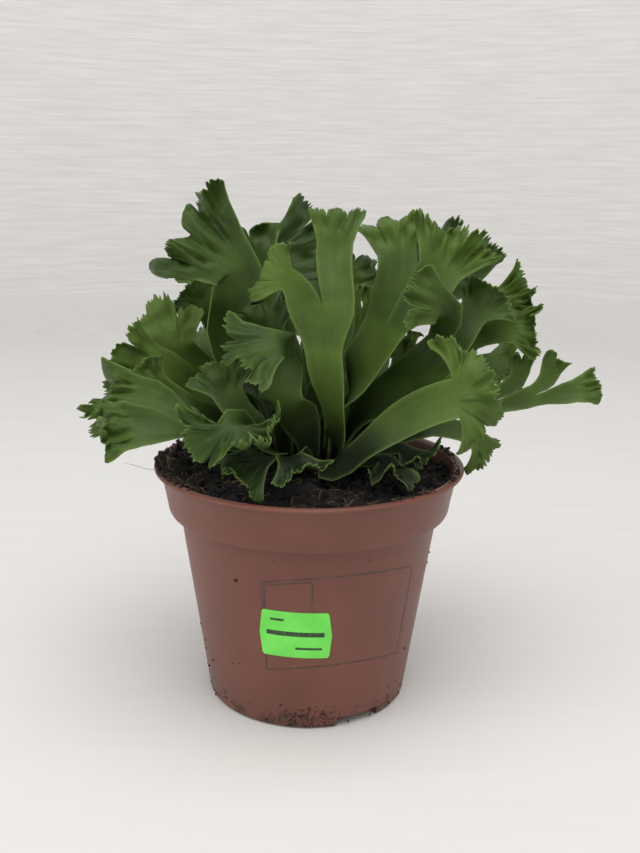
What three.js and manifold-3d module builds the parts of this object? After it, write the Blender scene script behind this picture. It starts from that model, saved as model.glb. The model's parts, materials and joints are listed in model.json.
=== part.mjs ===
// A crested bird's nest fern in a plastic nursery pot: pot, potting soil, rhizome, fronds and a price label.
// Millimetres, +Z up. The origin is the centre of the pot's base, on the surface that the pot stands on.
// Azimuths are in degrees anticlockwise from +X as seen from above, so -90 is the front.
import * as THREE from "three";
import { mergeVertices } from "three/addons/utils/BufferGeometryUtils.js";
import Module from "manifold-3d";

const wasm = await Module();
wasm.setup();

// Driving dimensions of the pot.
const GAP = 0.3;
const POT_HEIGHT = 94;
const LIP_RADIUS = 60;
const LIP_HEIGHT = 1.8;
const BAND_TOP_RADIUS = 57.5;
const BAND_BOTTOM_RADIUS = 54.6;
const BAND_HEIGHT = 18;
const WALL_TOP_RADIUS = 50.5;
const BASE_RADIUS = 39.5;
const POT_WALL = 1.1;
const POT_FLOOR = 1.3;
const POT_SIDES = 48;
const DRAIN = {
  count: 3,
  firstAzimuth: -60,
  width: 18,
  height: 4,
  innerRadius: 15,
  holeRadius: 4,
  holeAt: 29,
};

// Driving dimensions of the soil, the rhizome and the label.
const SOIL_SIDES = 36;
const SOIL_TOP = 90;
const RHIZOME = { radius: 24, bottom: 64, top: 95.5, dome: 5, sides: 28 };
const LABEL = { width: 24.5, bulge: 1.1, height: 19, azimuth: -95.5, middle: 41.3, thickness: 0.3 };

// Driving dimensions of the fronds.
// A whorl gives the radius and lean of its roots. The inner whorls stand steeper than the outer one.
const WHORLS = [
  { radius: 6, count: 5, first: 54, lean: 3, halfWidth: 2.6 },
  { radius: 12.2, count: 8, first: -90, lean: 9, halfWidth: 3.7 },
  { radius: 18.4, count: 11, first: -98, lean: 16, halfWidth: 4.2 },
];
// A root's depth in the rhizome, its length above it, its half-thickness and the turn of its face.
const ROOT = { depth: 11, above: 3, half: 1.2, edgeHalf: 0.65, twist: 10, socketGap: 0.4, socketAbove: 12 };
// The blade between a root and its crests: cup and wave lift its margins, as shares of its half-width.
const BLADE = {
  rowStep: 13,
  cup: 0.22,
  wave: 0.14,
  wavelength: 34,
  half: 0.55,
  edgeHalf: 0.4,
  wide: 5,
  widen: 1.85,
};
// A crest's lobes: their lengths, and where the notches between them end, as shares of the crest's radius.
// Then how deeply they are toothed, how uneven they are, and how much they curl, fold and stand out.
const CREST = {
  shortest: 0.72,
  longest: 1.06,
  notch: [0.66, 0.88],
  deepNotch: [0.4, 0.56],
  deepShare: 0.26,
  roundness: 0.36,
  tooth: 0.08,
  uneven: 0.55,
  curlChange: 0.7,
  fold: [-0.08, 0.16],
  stand: 0.2,
  tilt: 0.14,
  flare: 0.12,
  neck: 0.4,
  narrowest: 3,
  widest: 9.5,
};
// The rows of a crest: how far out each is, as a share of the radius, and how many steps it has to a lobe.
const CREST_ROWS = [
  { v: 0.36, perLobe: 2 },
  { v: 0.72, perLobe: 3 },
  { v: 1, perLobe: 6 },
];

// A fork is where a strap divides: its place, the half-width there and its arms in any order.
const fork = (at, half, ...arms) => ({ at, half, arms });
// A crest fans out from its hub round its middle lobe's tip. Its upper face looks to an azimuth and
// elevation. It has a half-angle, a number of lobes and the angle that it curls backwards, or forwards
// if negative.
const crest = (at, tip, look, spread, lobes, curl) => ({ at, tip, look, spread, lobes, curl });
// The root is a whorl and a slot in it, and rise is how far the strap keeps the root's direction.
const frond = (whorl, slot, rise, first) => ({ whorl, slot, rise, first });

const FRONDS = [
  // Inner whorl, anticlockwise from the back right.
  frond(
    0, 0, 26,
    fork([19, 20, 140], 7,
      crest([15, 22, 152], [11, 24, 163], [-90, 10], 34, 3, 40),
      crest([25, 23, 150], [29, 24, 161], [-90, 10], 34, 3, 40)),
  ),
  frond(0, 1, 30, fork([-16, 22, 148], 7, crest([-22, 30, 164], [-30, 40, 178], [-60, 30], 55, 4, 40))),
  frond(0, 2, 30, fork([-12, 6, 150], 5.5, crest([-12, 9, 170], [9, 12, 182], [-90, 15], 28, 4, 30))),
  frond(0, 3, 30, fork([11, -3, 148], 6, crest([11, -3, 164], [18, -3, 176], [-90, 10], 34, 4, 30))),
  frond(
    0, 4, 38,
    fork([32, 14, 155], 5,
      crest([59, 16, 165], [67, 17, 180], [-90, 0], 20, 3, 30),
      crest([43, 16, 171], [41, 22, 188], [-90, 10], 40, 4, 30)),
  ),
  // Middle whorl, anticlockwise from the front.
  frond(1, 0, 20, fork([-11, -23, 125], 8, crest([-12, -28, 144], [-28, -35, 141], [-95, 50], 46, 4, 30))),
  frond(
    1, 1, 22,
    fork([27, -14, 148], 10,
      crest([31, -5, 175], [27, 0, 192], [-90, 5], 24, 3, 20),
      crest([46, -12, 169], [55, -9, 187], [-90, 15], 36, 5, 20)),
  ),
  frond(
    1, 2, 20,
    fork([50, -11, 140], 9,
      crest([46, -20, 157], [33, -26, 163], [-90, 10], 32, 3, 20),
      crest([60, -8, 154], [69, -6, 165], [-90, 20], 50, 4, 30)),
  ),
  frond(
    1, 3, 20,
    fork([37, 15, 122], 7,
      crest([36, 14, 134], [32, 12, 144], [-90, 0], 50, 3, -40),
      fork([62, 14, 142], 7,
        crest([74, 12, 155], [88, 11, 160], [-90, 30], 32, 5, -20),
        crest([77, 2, 146], [90, -3, 146], [-90, 25], 36, 4, -20))),
  ),
  frond(
    1, 4, 26,
    fork([8, 36, 144], 9,
      crest([-2, 44, 158], [-10, 53, 169], [-90, 30], 42, 4, 40),
      crest([18, 44, 157], [28, 53, 167], [-100, 30], 42, 4, 40)),
  ),
  frond(
    1, 5, 22,
    fork([-35, 23, 140], 8,
      crest([-42, 17, 152], [-50, 18, 160], [-90, 20], 50, 3, 30),
      crest([-38, 26, 156], [-42, 36, 166], [-60, 30], 55, 4, 30)),
  ),
  frond(
    1, 6, 24,
    fork([-32, -3, 148], 11,
      crest([-28, -11, 170], [-57, -9, 192], [-90, 10], 29, 6, 20),
      crest([-21, -4, 172], [-25, 0, 190], [-90, 0], 26, 2, 30)),
  ),
  frond(1, 7, 24, fork([-17, -9, 134], 6, crest([-15, -13, 147], [-19, -14, 160], [-90, 0], 60, 4, 40))),
  // Outer whorl, anticlockwise from the front.
  frond(
    2, 0, 8,
    fork([-11, -32, 104], 7,
      crest([-18, -39, 105], [-29, -48, 101], [-95, 60], 42, 4, 20),
      crest([-6, -41, 105], [0, -52, 101], [-90, 60], 42, 3, 20)),
  ),
  frond(
    2, 1, 5,
    fork([12, -24, 104], 11,
      fork([5, -27, 141], 6.5,
        fork([4, -25, 158], 12,
          crest([-9, -25, 167], [-18, -28, 172], [-90, 10], 60, 3, 40),
          crest([8, -16, 179], [9, -14, 195], [-90, -5], 20, 3, 15))),
      crest([51, -34, 127], [68, -37, 132], [-85, 20], 112, 7, 15)),
  ),
  frond(
    2, 2, 6,
    fork([24, -16, 100], 8,
      crest([29, -27, 100], [31, -38, 97], [-70, 60], 40, 3, 20),
      crest([36, -17, 102], [44, -25, 98], [-50, 50], 50, 3, -20)),
  ),
  frond(
    2, 3, 9,
    fork([45, -3, 112], 8,
      fork([70, 0, 118], 4.8,
        crest([81, 5, 129], [82, 7, 138], [-90, 0], 12, 2, -10),
        fork([86, -1, 121], 4.2,
          crest([92, 2, 129], [95, 3, 138], [-90, 0], 12, 2, -10),
          crest([101, -2, 123], [112, -2, 126], [-90, 30], 20, 3, 15))),
      crest([64, -5, 104], [71, -6, 97], [-70, 30], 40, 3, 30)),
  ),
  frond(
    2, 4, 12,
    fork([56, 16, 122], 8,
      crest([73, 16, 130], [88, 18, 131], [-60, 60], 50, 4, 30),
      crest([68, 28, 126], [80, 38, 128], [-100, 60], 50, 4, 30)),
  ),
  frond(
    2, 5, 14,
    fork([33, 42, 122], 9,
      crest([46, 56, 127], [59, 69, 131], [-115, 60], 42, 4, 30),
      crest([27, 60, 136], [27, 78, 142], [-90, 60], 42, 4, 30)),
  ),
  frond(
    2, 6, 12,
    fork([-6, 44, 118], 9,
      crest([-14, 60, 126], [-20, 78, 124], [-80, 60], 55, 4, 40),
      crest([4, 62, 130], [9, 80, 134], [-95, 60], 55, 4, 40)),
  ),
  frond(
    2, 7, 14,
    fork([-32, 36, 120], 9,
      crest([-46, 44, 132], [-60, 52, 140], [-50, 50], 55, 4, 30),
      crest([-32, 56, 128], [-38, 72, 126], [-70, 60], 55, 4, 40)),
  ),
  frond(
    2, 8, 12,
    fork([-41, 7, 122], 10,
      crest([-52, 3, 138], [-57, 3, 156], [-90, 10], 38, 3, 20),
      crest([-59, -3, 131], [-77, -6, 137], [-90, 20], 34, 3, 20)),
  ),
  frond(
    2, 9, 10,
    fork([-42, -20, 114], 9,
      crest([-62, -19, 122], [-82, -20, 124], [-90, 30], 24, 5, 25),
      crest([-57, -14, 127], [-64, -13, 136], [-90, 10], 30, 3, 30),
      crest([-60, -31, 114], [-79, -34, 114], [-100, 40], 22, 4, 20)),
  ),
  frond(
    2, 10, 9,
    fork([-18, -25, 110], 7.5,
      crest([-26, -42, 118], [-28, -54, 108], [-95, 40], 138, 8, 15),
      crest([-30, -21, 125], [-35, -18, 138], [-90, 10], 50, 4, 20)),
  ),
];

// A number from 0 to 1 that depends only on its two seeds.
function chance(a, b) {
  const v = Math.sin(a * 12.9898 + b * 78.233) * 43758.5453;
  return v - Math.floor(v);
}

const rad = THREE.MathUtils.degToRad;
const smooth = (t) => {
  const x = Math.min(Math.max(t, 0), 1);
  return x * x * (3 - 2 * x);
};
const blend = (a, b, t) => a + (b - a) * t;
const polar = (radius, azimuth, z) =>
  new THREE.Vector3(radius * Math.cos(rad(azimuth)), radius * Math.sin(rad(azimuth)), z);

// Solids: a closed geometry goes to manifold-3d for its cuts and comes back as flat-faced geometry.
function solidFrom(geometry) {
  const bare = geometry.index ? geometry.toNonIndexed() : geometry.clone();
  for (const name of Object.keys(bare.attributes)) {
    if (name !== "position") bare.deleteAttribute(name);
  }
  const merged = mergeVertices(bare, 1e-3);
  return new wasm.Manifold(
    new wasm.Mesh({
      numProp: 3,
      vertProperties: merged.attributes.position.array,
      triVerts: new Uint32Array(merged.index.array),
    }),
  );
}

function geometryFrom(solid) {
  const mesh = solid.getMesh();
  const geometry = new THREE.BufferGeometry();
  geometry.setAttribute("position", new THREE.BufferAttribute(mesh.vertProperties, 3));
  geometry.setIndex(new THREE.BufferAttribute(mesh.triVerts, 1));
  const flat = geometry.toNonIndexed();
  flat.computeVertexNormals();
  return flat;
}

// A profile of [radius, z] pairs, turned about Z. It runs from the axis at the bottom to the axis at the top.
function turned(profile, sides) {
  const points = profile.map(([r, z]) => new THREE.Vector2(r, z));
  return new THREE.LatheGeometry(points, sides).rotateX(Math.PI / 2);
}

// Pot: a thin shell with a stepped band, a flat lip and drainage arches under its floor.
const LEDGE = POT_HEIGHT - BAND_HEIGHT;
const innerRadiusAt = (z) => {
  if (z > LEDGE + POT_WALL) {
    const t = (z - LEDGE) / BAND_HEIGHT;
    return blend(BAND_BOTTOM_RADIUS, BAND_TOP_RADIUS, t) - POT_WALL;
  }
  return blend(BASE_RADIUS, WALL_TOP_RADIUS, Math.max(z, 0) / LEDGE) - POT_WALL;
};

function potOuter() {
  return turned(
    [
      [0, 0],
      [BASE_RADIUS - 1.5, 0],
      [BASE_RADIUS, 1.5],
      [WALL_TOP_RADIUS, LEDGE],
      [BAND_BOTTOM_RADIUS - 1.2, LEDGE],
      [BAND_BOTTOM_RADIUS, LEDGE + 1.4],
      [BAND_TOP_RADIUS, POT_HEIGHT - LIP_HEIGHT],
      [LIP_RADIUS - 0.4, POT_HEIGHT - LIP_HEIGHT],
      [LIP_RADIUS, POT_HEIGHT - LIP_HEIGHT / 2],
      [LIP_RADIUS - 0.6, POT_HEIGHT],
      [0, POT_HEIGHT],
    ],
    POT_SIDES,
  );
}

// The room inside the pot, drawn in by inset on every side. The soil is the same shape with a larger inset.
function potRoomProfile(inset, top) {
  return [
    [0, POT_FLOOR + inset],
    [innerRadiusAt(POT_FLOOR) - inset - 1, POT_FLOOR + inset],
    [innerRadiusAt(POT_FLOOR + 1) - inset, POT_FLOOR + inset + 1],
    [innerRadiusAt(LEDGE) - inset, LEDGE + POT_WALL + inset],
    [innerRadiusAt(LEDGE + 2) - inset, LEDGE + POT_WALL + inset],
    [innerRadiusAt(top) - inset, top],
  ];
}

// One straight arch under the floor, from near the centre out past the wall, grown by extra on each side.
function drainArch(azimuth, extra) {
  const reach = BASE_RADIUS + 12;
  const half = DRAIN.width / 2 + extra;
  const rise = DRAIN.height + extra;
  const shape = new THREE.Shape();
  shape.moveTo(-half, -2);
  shape.lineTo(half, -2);
  shape.lineTo(half, rise - 1.5);
  shape.lineTo(half - 1.5, rise);
  shape.lineTo(1.5 - half, rise);
  shape.lineTo(-half, rise - 1.5);
  const length = reach - DRAIN.innerRadius + extra;
  const arch = new THREE.ExtrudeGeometry(shape, { depth: length, bevelEnabled: false });
  arch.rotateX(Math.PI / 2).rotateZ(Math.PI / 2);
  arch.translate(DRAIN.innerRadius - extra, 0, 0);
  return solidFrom(arch.rotateZ(rad(azimuth)));
}

const drainAzimuths = Array.from(
  { length: DRAIN.count },
  (_, k) => DRAIN.firstAzimuth + (k * 360) / DRAIN.count,
);

function drainHole(azimuth) {
  const hole = new THREE.CylinderGeometry(DRAIN.holeRadius, DRAIN.holeRadius, 12, 16).rotateX(Math.PI / 2);
  const place = polar(DRAIN.holeAt, azimuth, DRAIN.height);
  return solidFrom(hole.translate(place.x, place.y, place.z));
}

function buildPot() {
  const room = potRoomProfile(0, POT_HEIGHT + 2);
  room.push([0, POT_HEIGHT + 2]);
  let inside = solidFrom(turned(room, POT_SIDES));
  let pot = solidFrom(potOuter());
  for (const azimuth of drainAzimuths) {
    inside = inside.subtract(drainArch(azimuth, POT_FLOOR));
    pot = pot.subtract(drainArch(azimuth, 0));
  }
  pot = pot.subtract(inside);
  for (const azimuth of drainAzimuths) pot = pot.subtract(drainHole(azimuth));
  return pot;
}

// Soil: it fills the pot, with a lumpy top that is heaped at the left rim and hollow at the right.
function soilTopAt(x, y) {
  const r = Math.hypot(x, y);
  const mound = 3.5 * Math.exp(-((r / 30) ** 2));
  const slope = -0.045 * x + 0.012 * y;
  const broad = 0.9 * Math.sin(0.31 * x + 1.3) * Math.cos(0.27 * y + 0.4);
  const narrow = 0.6 * Math.sin(0.63 * y - 0.41 * x);
  return SOIL_TOP + mound + slope + broad + narrow;
}

function buildSoil() {
  const inset = GAP;
  const side = potRoomProfile(inset, SOIL_TOP - 3).slice(1);
  const topRings = [1, 0.88, 0.7, 0.54, 0.38, 0.2];
  const edge = innerRadiusAt(SOIL_TOP) - inset;
  const positions = [0, 0, POT_FLOOR + inset];
  const rings = side.length + topRings.length;
  for (let ring = 0; ring < rings; ring++) {
    for (let k = 0; k < SOIL_SIDES; k++) {
      const a = (k / SOIL_SIDES) * 2 * Math.PI;
      const top = ring - side.length;
      const r = top < 0 ? side[ring][0] : edge * topRings[top] - (top === 0 ? 0.4 : 0);
      const x = r * Math.cos(a);
      const y = r * Math.sin(a);
      positions.push(x, y, top < 0 ? side[ring][1] : soilTopAt(x, y));
    }
  }
  positions.push(0, 0, soilTopAt(0, 0));
  const last = positions.length / 3 - 1;
  const index = [];
  const at = (ring, k) => 1 + ring * SOIL_SIDES + (k % SOIL_SIDES);
  for (let k = 0; k < SOIL_SIDES; k++) {
    index.push(0, at(0, k + 1), at(0, k));
    for (let ring = 0; ring + 1 < rings; ring++) {
      index.push(at(ring, k), at(ring, k + 1), at(ring + 1, k + 1));
      index.push(at(ring, k), at(ring + 1, k + 1), at(ring + 1, k));
    }
    index.push(last, at(rings - 1, k), at(rings - 1, k + 1));
  }
  const geometry = new THREE.BufferGeometry();
  geometry.setAttribute("position", new THREE.Float32BufferAttribute(positions, 3));
  geometry.setIndex(index);
  let soil = solidFrom(geometry);
  for (const azimuth of drainAzimuths) soil = soil.subtract(drainArch(azimuth, POT_FLOOR + GAP));
  return soil.subtract(solidFrom(turned(rhizomeHoleProfile(), RHIZOME.sides)));
}

// Rhizome: the short upright stem that carries the fronds, standing in a plain hole in the soil.
function rhizomeTopAt(r) {
  const { radius, top, dome } = RHIZOME;
  return top - dome * (r / radius) ** 2;
}

function rhizomeSide(extra) {
  const { radius, bottom } = RHIZOME;
  return [
    [0, bottom - extra],
    [radius * 0.6 + extra, bottom - extra],
    [radius * 0.92 + extra, bottom + 10],
  ];
}

function rhizomeProfile() {
  const rim = [1, 0.85, 0.66, 0.4, 0].map((part) => {
    const r = RHIZOME.radius * part;
    return [r, rhizomeTopAt(r)];
  });
  return [...rhizomeSide(0), ...rim];
}

function rhizomeHoleProfile() {
  const wide = RHIZOME.radius + GAP;
  const above = POT_HEIGHT + 9;
  return [...rhizomeSide(GAP), [wide, rhizomeTopAt(RHIZOME.radius)], [wide, above], [0, above]];
}

// Fronds: each is one thin sheet. It rises from its socket in the rhizome as a strap, forks, and each arm
// ends in a crest, a fan of toothed lobes. The sheet is laid out in rows from its root to its margins.

// A direction from an azimuth and an elevation.
function direction([azimuth, elevation]) {
  const flat = Math.cos(rad(elevation));
  return new THREE.Vector3(
    flat * Math.cos(rad(azimuth)),
    flat * Math.sin(rad(azimuth)),
    Math.sin(rad(elevation)),
  );
}

// Random numbers joined by smooth steps, from -1 to 1.
function noise(x, seed) {
  const cell = Math.floor(x);
  return 2 * blend(chance(cell, seed), chance(cell + 1, seed), smooth(x - cell)) - 1;
}

class Sheet {
  points = [];
  halves = [];
  faces = [];

  addRow(columns, place) {
    return columns.map((s) => {
      const { point, half } = place(s);
      this.points.push(point);
      this.halves.push(half);
      return { id: this.points.length - 1, s };
    });
  }

  // Joins two rows, which may have different numbers of points, with the upper face towards the viewer
  // when the rows run left to right and the second is above the first.
  join(lower, upper) {
    let i = 0;
    let j = 0;
    while (i < lower.length - 1 || j < upper.length - 1) {
      const lowerNext = i < lower.length - 1 ? lower[i + 1].s : Infinity;
      const upperNext = j < upper.length - 1 ? upper[j + 1].s : Infinity;
      if (lowerNext <= upperNext) {
        this.faces.push([lower[i].id, lower[i + 1].id, upper[j].id]);
        i++;
      } else {
        this.faces.push([lower[i].id, upper[j + 1].id, upper[j].id]);
        j++;
      }
    }
  }

  // The closed solid: both faces are split alike, each offset by half the thickness, with walls between.
  geometry() {
    const normals = this.points.map(() => new THREE.Vector3());
    const edges = new Set();
    for (const [a, b, c] of this.faces) {
      const ab = this.points[b].clone().sub(this.points[a]);
      const ac = this.points[c].clone().sub(this.points[a]);
      const normal = ab.cross(ac);
      for (const id of [a, b, c]) normals[id].add(normal);
      for (const [from, to] of [[a, b], [b, c], [c, a]]) edges.add(`${from},${to}`);
    }
    const count = this.points.length;
    const positions = [];
    for (const side of [1, -1]) {
      this.points.forEach((point, id) => {
        const moved = point.clone().addScaledVector(normals[id].normalize(), side * this.halves[id]);
        positions.push(moved.x, moved.y, moved.z);
      });
    }
    const index = [];
    for (const [a, b, c] of this.faces) {
      index.push(a, b, c, a + count, c + count, b + count);
      for (const [from, to] of [[a, b], [b, c], [c, a]]) {
        if (edges.has(`${to},${from}`)) continue;
        index.push(to, from, from + count, to, from + count, to + count);
      }
    }
    const geometry = new THREE.BufferGeometry();
    geometry.setAttribute("position", new THREE.Float32BufferAttribute(positions, 3));
    geometry.setIndex(index);
    return geometry;
  }
}

const evenly = (count) => Array.from({ length: count + 1 }, (_, k) => (2 * k) / count - 1);

// The frame on a curve: its centre, the way along it, the upper face's normal and the way across.
function frameOn(curve, t, faceFrom, faceTo) {
  const centre = curve.getPoint(t);
  const along = curve.getTangent(t);
  const face = faceFrom.clone().lerp(faceTo, smooth(t));
  face.addScaledVector(along, -face.dot(along)).normalize();
  return { centre, along, face, across: along.clone().cross(face) };
}

const targetFace = (node) =>
  node.arms
    ? node.arms.reduce((sum, arm) => sum.add(targetFace(arm)), new THREE.Vector3()).normalize()
    : direction(node.look);

const middleOf = (nodes) => {
  const sum = new THREE.Vector3();
  for (const node of nodes) sum.add(new THREE.Vector3(...node.at));
  return sum.divideScalar(nodes.length);
};

function hubHalf(node) {
  const reach = new THREE.Vector3(...node.tip).distanceTo(new THREE.Vector3(...node.at));
  return Math.min(Math.max(reach * CREST.neck, CREST.narrowest), CREST.widest);
}

// One arm, or the strap itself: from its start row to its node, and then on to what the node holds.
function growArm(sheet, startRow, start, node, seed) {
  const end = new THREE.Vector3(...node.at);
  const straight = end.clone().sub(start.centre);
  const next = node.arms ? middleOf(node.arms) : new THREE.Vector3(...node.tip);
  const endAlong = node.arms ? next.sub(start.centre) : next.sub(end);
  endAlong.normalize();
  const startAlong = start.along.clone().lerp(straight.clone().normalize(), start.turnIn).normalize();
  const reach = straight.length();
  const curve = new THREE.CubicBezierCurve3(
    start.centre,
    start.centre.clone().addScaledVector(startAlong, start.rise ?? reach / 3),
    end.clone().addScaledVector(endAlong, -reach / 3),
    end,
  );
  const endHalf = node.arms ? node.half : hubHalf(node);
  const faceTo = targetFace(node);
  if (node.arms) faceTo.lerp(start.face, 0.4).normalize();
  const bladePoint = (frame, t, s) => {
    const half = blend(start.half, endHalf, start.root ? smooth(BLADE.widen * t) : smooth(t));
    const wave = Math.sin(((t * reach) / BLADE.wavelength + chance(seed, s < 0 ? 3 : 5)) * 2 * Math.PI);
    const lift = half * s * s * (BLADE.cup + BLADE.wave * wave * Math.abs(s) * smooth(4 * t));
    return frame.centre.clone().addScaledVector(frame.across, half * s).addScaledVector(frame.face, lift);
  };
  // The start row belongs to the parent, so what it differs by is faded out along the arm.
  const startFrame = frameOn(curve, 0, start.face, faceTo);
  const gaps = startRow.map(({ id, s }) => sheet.points[id].clone().sub(bladePoint(startFrame, 0, s)));
  const gapAt = (s) => {
    const x = ((s + 1) / 2) * (gaps.length - 1);
    const k = Math.min(Math.floor(x), gaps.length - 2);
    return gaps[k].clone().lerp(gaps[k + 1], x - k);
  };
  const rows = Math.max(2, Math.round(reach / BLADE.rowStep));
  let row = startRow;
  let frame = startFrame;
  for (let k = 1; k <= rows; k++) {
    const t = k / rows;
    frame = frameOn(curve, t, start.face, faceTo);
    const across = start.half > BLADE.wide ? 4 : 2;
    const columns = evenly(k === rows && node.arms ? 2 * node.arms.length : across);
    const fade = 1 - smooth(2 * t);
    const thick = start.root ? blend(ROOT.half, BLADE.half, smooth(2 * t)) : BLADE.half;
    const added = sheet.addRow(columns, (s) => ({
      point: bladePoint(frame, t, s).addScaledVector(gapAt(s), fade),
      half: blend(thick, BLADE.edgeHalf, s * s),
    }));
    sheet.join(row, added);
    row = added;
  }
  if (!node.arms) return growCrest(sheet, row, frame, endHalf, node, seed);
  const count = node.arms.length;
  const order = [...node.arms].sort((a, b) => sideOf(a, frame) - sideOf(b, frame));
  order.forEach((arm, k) => {
    const middle = (2 * k + 1) / count - 1;
    const part = row.slice(2 * k, 2 * k + 3).map(({ id }, c) => ({ id, s: c - 1 }));
    const lift = endHalf * BLADE.cup * middle * middle;
    const centre = frame.centre.clone().addScaledVector(frame.across, endHalf * middle);
    centre.addScaledVector(frame.face, lift);
    growArm(sheet, part, { ...frame, centre, half: endHalf / count, turnIn: 0.5 }, arm, seed * 3 + k + 1);
  });
}

const sideOf = (node, frame) => new THREE.Vector3(...node.at).sub(frame.centre).dot(frame.across);

// Where the notch before lobe k ends. About a quarter of the notches part the crest nearly to its hub.
function notchAt(k, lobes, seed) {
  const draw = chance(k + 0.5, seed + 7);
  const deep = draw < CREST.deepShare && k > 0 && k < lobes;
  return deep ? blend(...CREST.deepNotch, draw / CREST.deepShare) : blend(...CREST.notch, draw);
}

// How far out the margin is, as a share of the radius, at a place counted in lobes.
function outlineAt(at, lobes, seed) {
  const lobe = Math.min(Math.floor(at), lobes - 1);
  const part = at - lobe;
  const length = blend(CREST.shortest, CREST.longest, chance(lobe, seed));
  const notch = blend(notchAt(lobe, lobes, seed), notchAt(lobe + 1, lobes, seed), part);
  const swell = Math.max(Math.sin(part * Math.PI), 0) ** CREST.roundness;
  return blend(notch, length, swell) * (1 - CREST.tooth * Math.cos(part * 6 * Math.PI));
}

// Where a ray points, as a share of the spread from -1 to 1. The lobes are of uneven widths.
function rayAt(at, lobes, seed) {
  const uneven = (k) => (k > 0 && k < lobes ? k + CREST.uneven * (chance(k, seed + 21) - 0.5) : k);
  const lobe = Math.min(Math.floor(at), lobes - 1);
  return (2 * blend(uneven(lobe), uneven(lobe + 1), at - lobe)) / lobes - 1;
}

// How far each lobe stands out of the crest's plane, from -1 to 1, with a quick change at each notch.
function standAt(at, lobes, seed) {
  const cell = Math.floor(at - 0.5);
  const draw = (k) => chance(Math.min(Math.max(k, 0), lobes - 1), seed + 51);
  return 2 * blend(draw(cell), draw(cell + 1), smooth((at - 0.5 - cell - 0.35) / 0.3)) - 1;
}

// A crest: rows of points further and further out on rays that fan from the hub and bend as they go.
function growCrest(sheet, hubRow, hub, half, node, seed) {
  const { lobes } = node;
  const radius = new THREE.Vector3(...node.tip).distanceTo(hub.centre);
  const place = (s, v) => {
    const at = ((s + 1) / 2) * lobes;
    const out = radius * outlineAt(at, lobes, seed) * v;
    const curl = rad(node.curl) * (1 + CREST.curlChange * noise(at * 0.8 + 9, seed));
    const bend = curl * (out / radius) + 1e-4;
    const angle = rad(node.spread) * rayAt(at, lobes, seed) * (0.75 + 0.25 * v);
    const lobe = Math.min(Math.floor(at), lobes - 1);
    const fold = blend(...CREST.fold, chance(lobe, seed + 31)) * (Math.abs(Math.sin(Math.PI * at)) - 0.3);
    const lean = CREST.stand * standAt(at, lobes, seed) + CREST.tilt * noise(at * 0.9 + 5, seed);
    const tilt = lean + CREST.flare * s * s;
    const point = hub.centre.clone().addScaledVector(hub.across, half * s);
    point.addScaledVector(hub.along, ((out * Math.sin(bend)) / bend) * Math.cos(angle));
    point.addScaledVector(hub.across, ((out * Math.sin(bend)) / bend) * Math.sin(angle));
    const lift = half * BLADE.cup * s * s * (1 - v) + out * (fold + tilt) * v;
    return point.addScaledVector(hub.face, lift - (out * (1 - Math.cos(bend))) / bend);
  };
  let row = hubRow;
  for (const { v, perLobe } of CREST_ROWS) {
    const added = sheet.addRow(evenly(lobes * perLobe), (s) => ({
      point: place(s, v),
      half: blend(BLADE.half, BLADE.edgeHalf, v),
    }));
    sheet.join(row, added);
    row = added;
  }
}

// The root of a frond: where its strap leaves the rhizome and which way it points.
function rootOf({ whorl, slot }) {
  const { radius, count, first, lean, halfWidth } = WHORLS[whorl];
  const azimuth = first + (slot * 360) / count;
  const out = polar(1, azimuth, 0);
  const along = out.clone().multiplyScalar(Math.sin(rad(lean)));
  along.z = Math.cos(rad(lean));
  const face = out.clone().negate();
  face.addScaledVector(along, -face.dot(along)).normalize().applyAxisAngle(along, rad(ROOT.twist));
  const rim = polar(radius, azimuth, rhizomeTopAt(radius));
  return { along, face, across: along.clone().cross(face), rim, halfWidth };
}

function frondGeometry(spec, number) {
  const sheet = new Sheet();
  const root = rootOf(spec);
  const rowAt = (distance) => {
    const centre = root.rim.clone().addScaledVector(root.along, distance);
    return sheet.addRow(evenly(2), (s) => ({
      point: centre.clone().addScaledVector(root.across, root.halfWidth * s),
      half: blend(ROOT.half, ROOT.edgeHalf, s * s),
    }));
  };
  const bottom = rowAt(-ROOT.depth);
  const top = rowAt(ROOT.above);
  sheet.join(bottom, top);
  const centre = root.rim.clone().addScaledVector(root.along, ROOT.above);
  const start = { ...root, centre, half: root.halfWidth, turnIn: 0, rise: spec.rise, root: true };
  growArm(sheet, top, start, spec.first, number);
  return sheet.geometry();
}

// The plain socket for a frond's root.
function socket(spec) {
  const root = rootOf(spec);
  const wide = root.halfWidth + ROOT.socketGap;
  const thick = ROOT.half + ROOT.socketGap;
  const edge = ROOT.edgeHalf + ROOT.socketGap;
  const outline = [[-edge, -wide], [edge, -wide], [thick, 0], [edge, wide], [-edge, wide], [-thick, 0]];
  const shape = new THREE.Shape(outline.map(([x, y]) => new THREE.Vector2(x, y)));
  const depth = ROOT.depth + GAP + ROOT.socketAbove;
  const hole = new THREE.ExtrudeGeometry(shape, { depth, bevelEnabled: false });
  const bottom = root.rim.clone().addScaledVector(root.along, -ROOT.depth - GAP);
  const place = new THREE.Matrix4().makeBasis(root.face, root.across, root.along).setPosition(bottom);
  return solidFrom(hole.applyMatrix4(place));
}

function buildRhizome() {
  let rhizome = solidFrom(turned(rhizomeProfile(), RHIZOME.sides));
  for (const spec of FRONDS) rhizome = rhizome.subtract(socket(spec));
  return rhizome;
}

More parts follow.
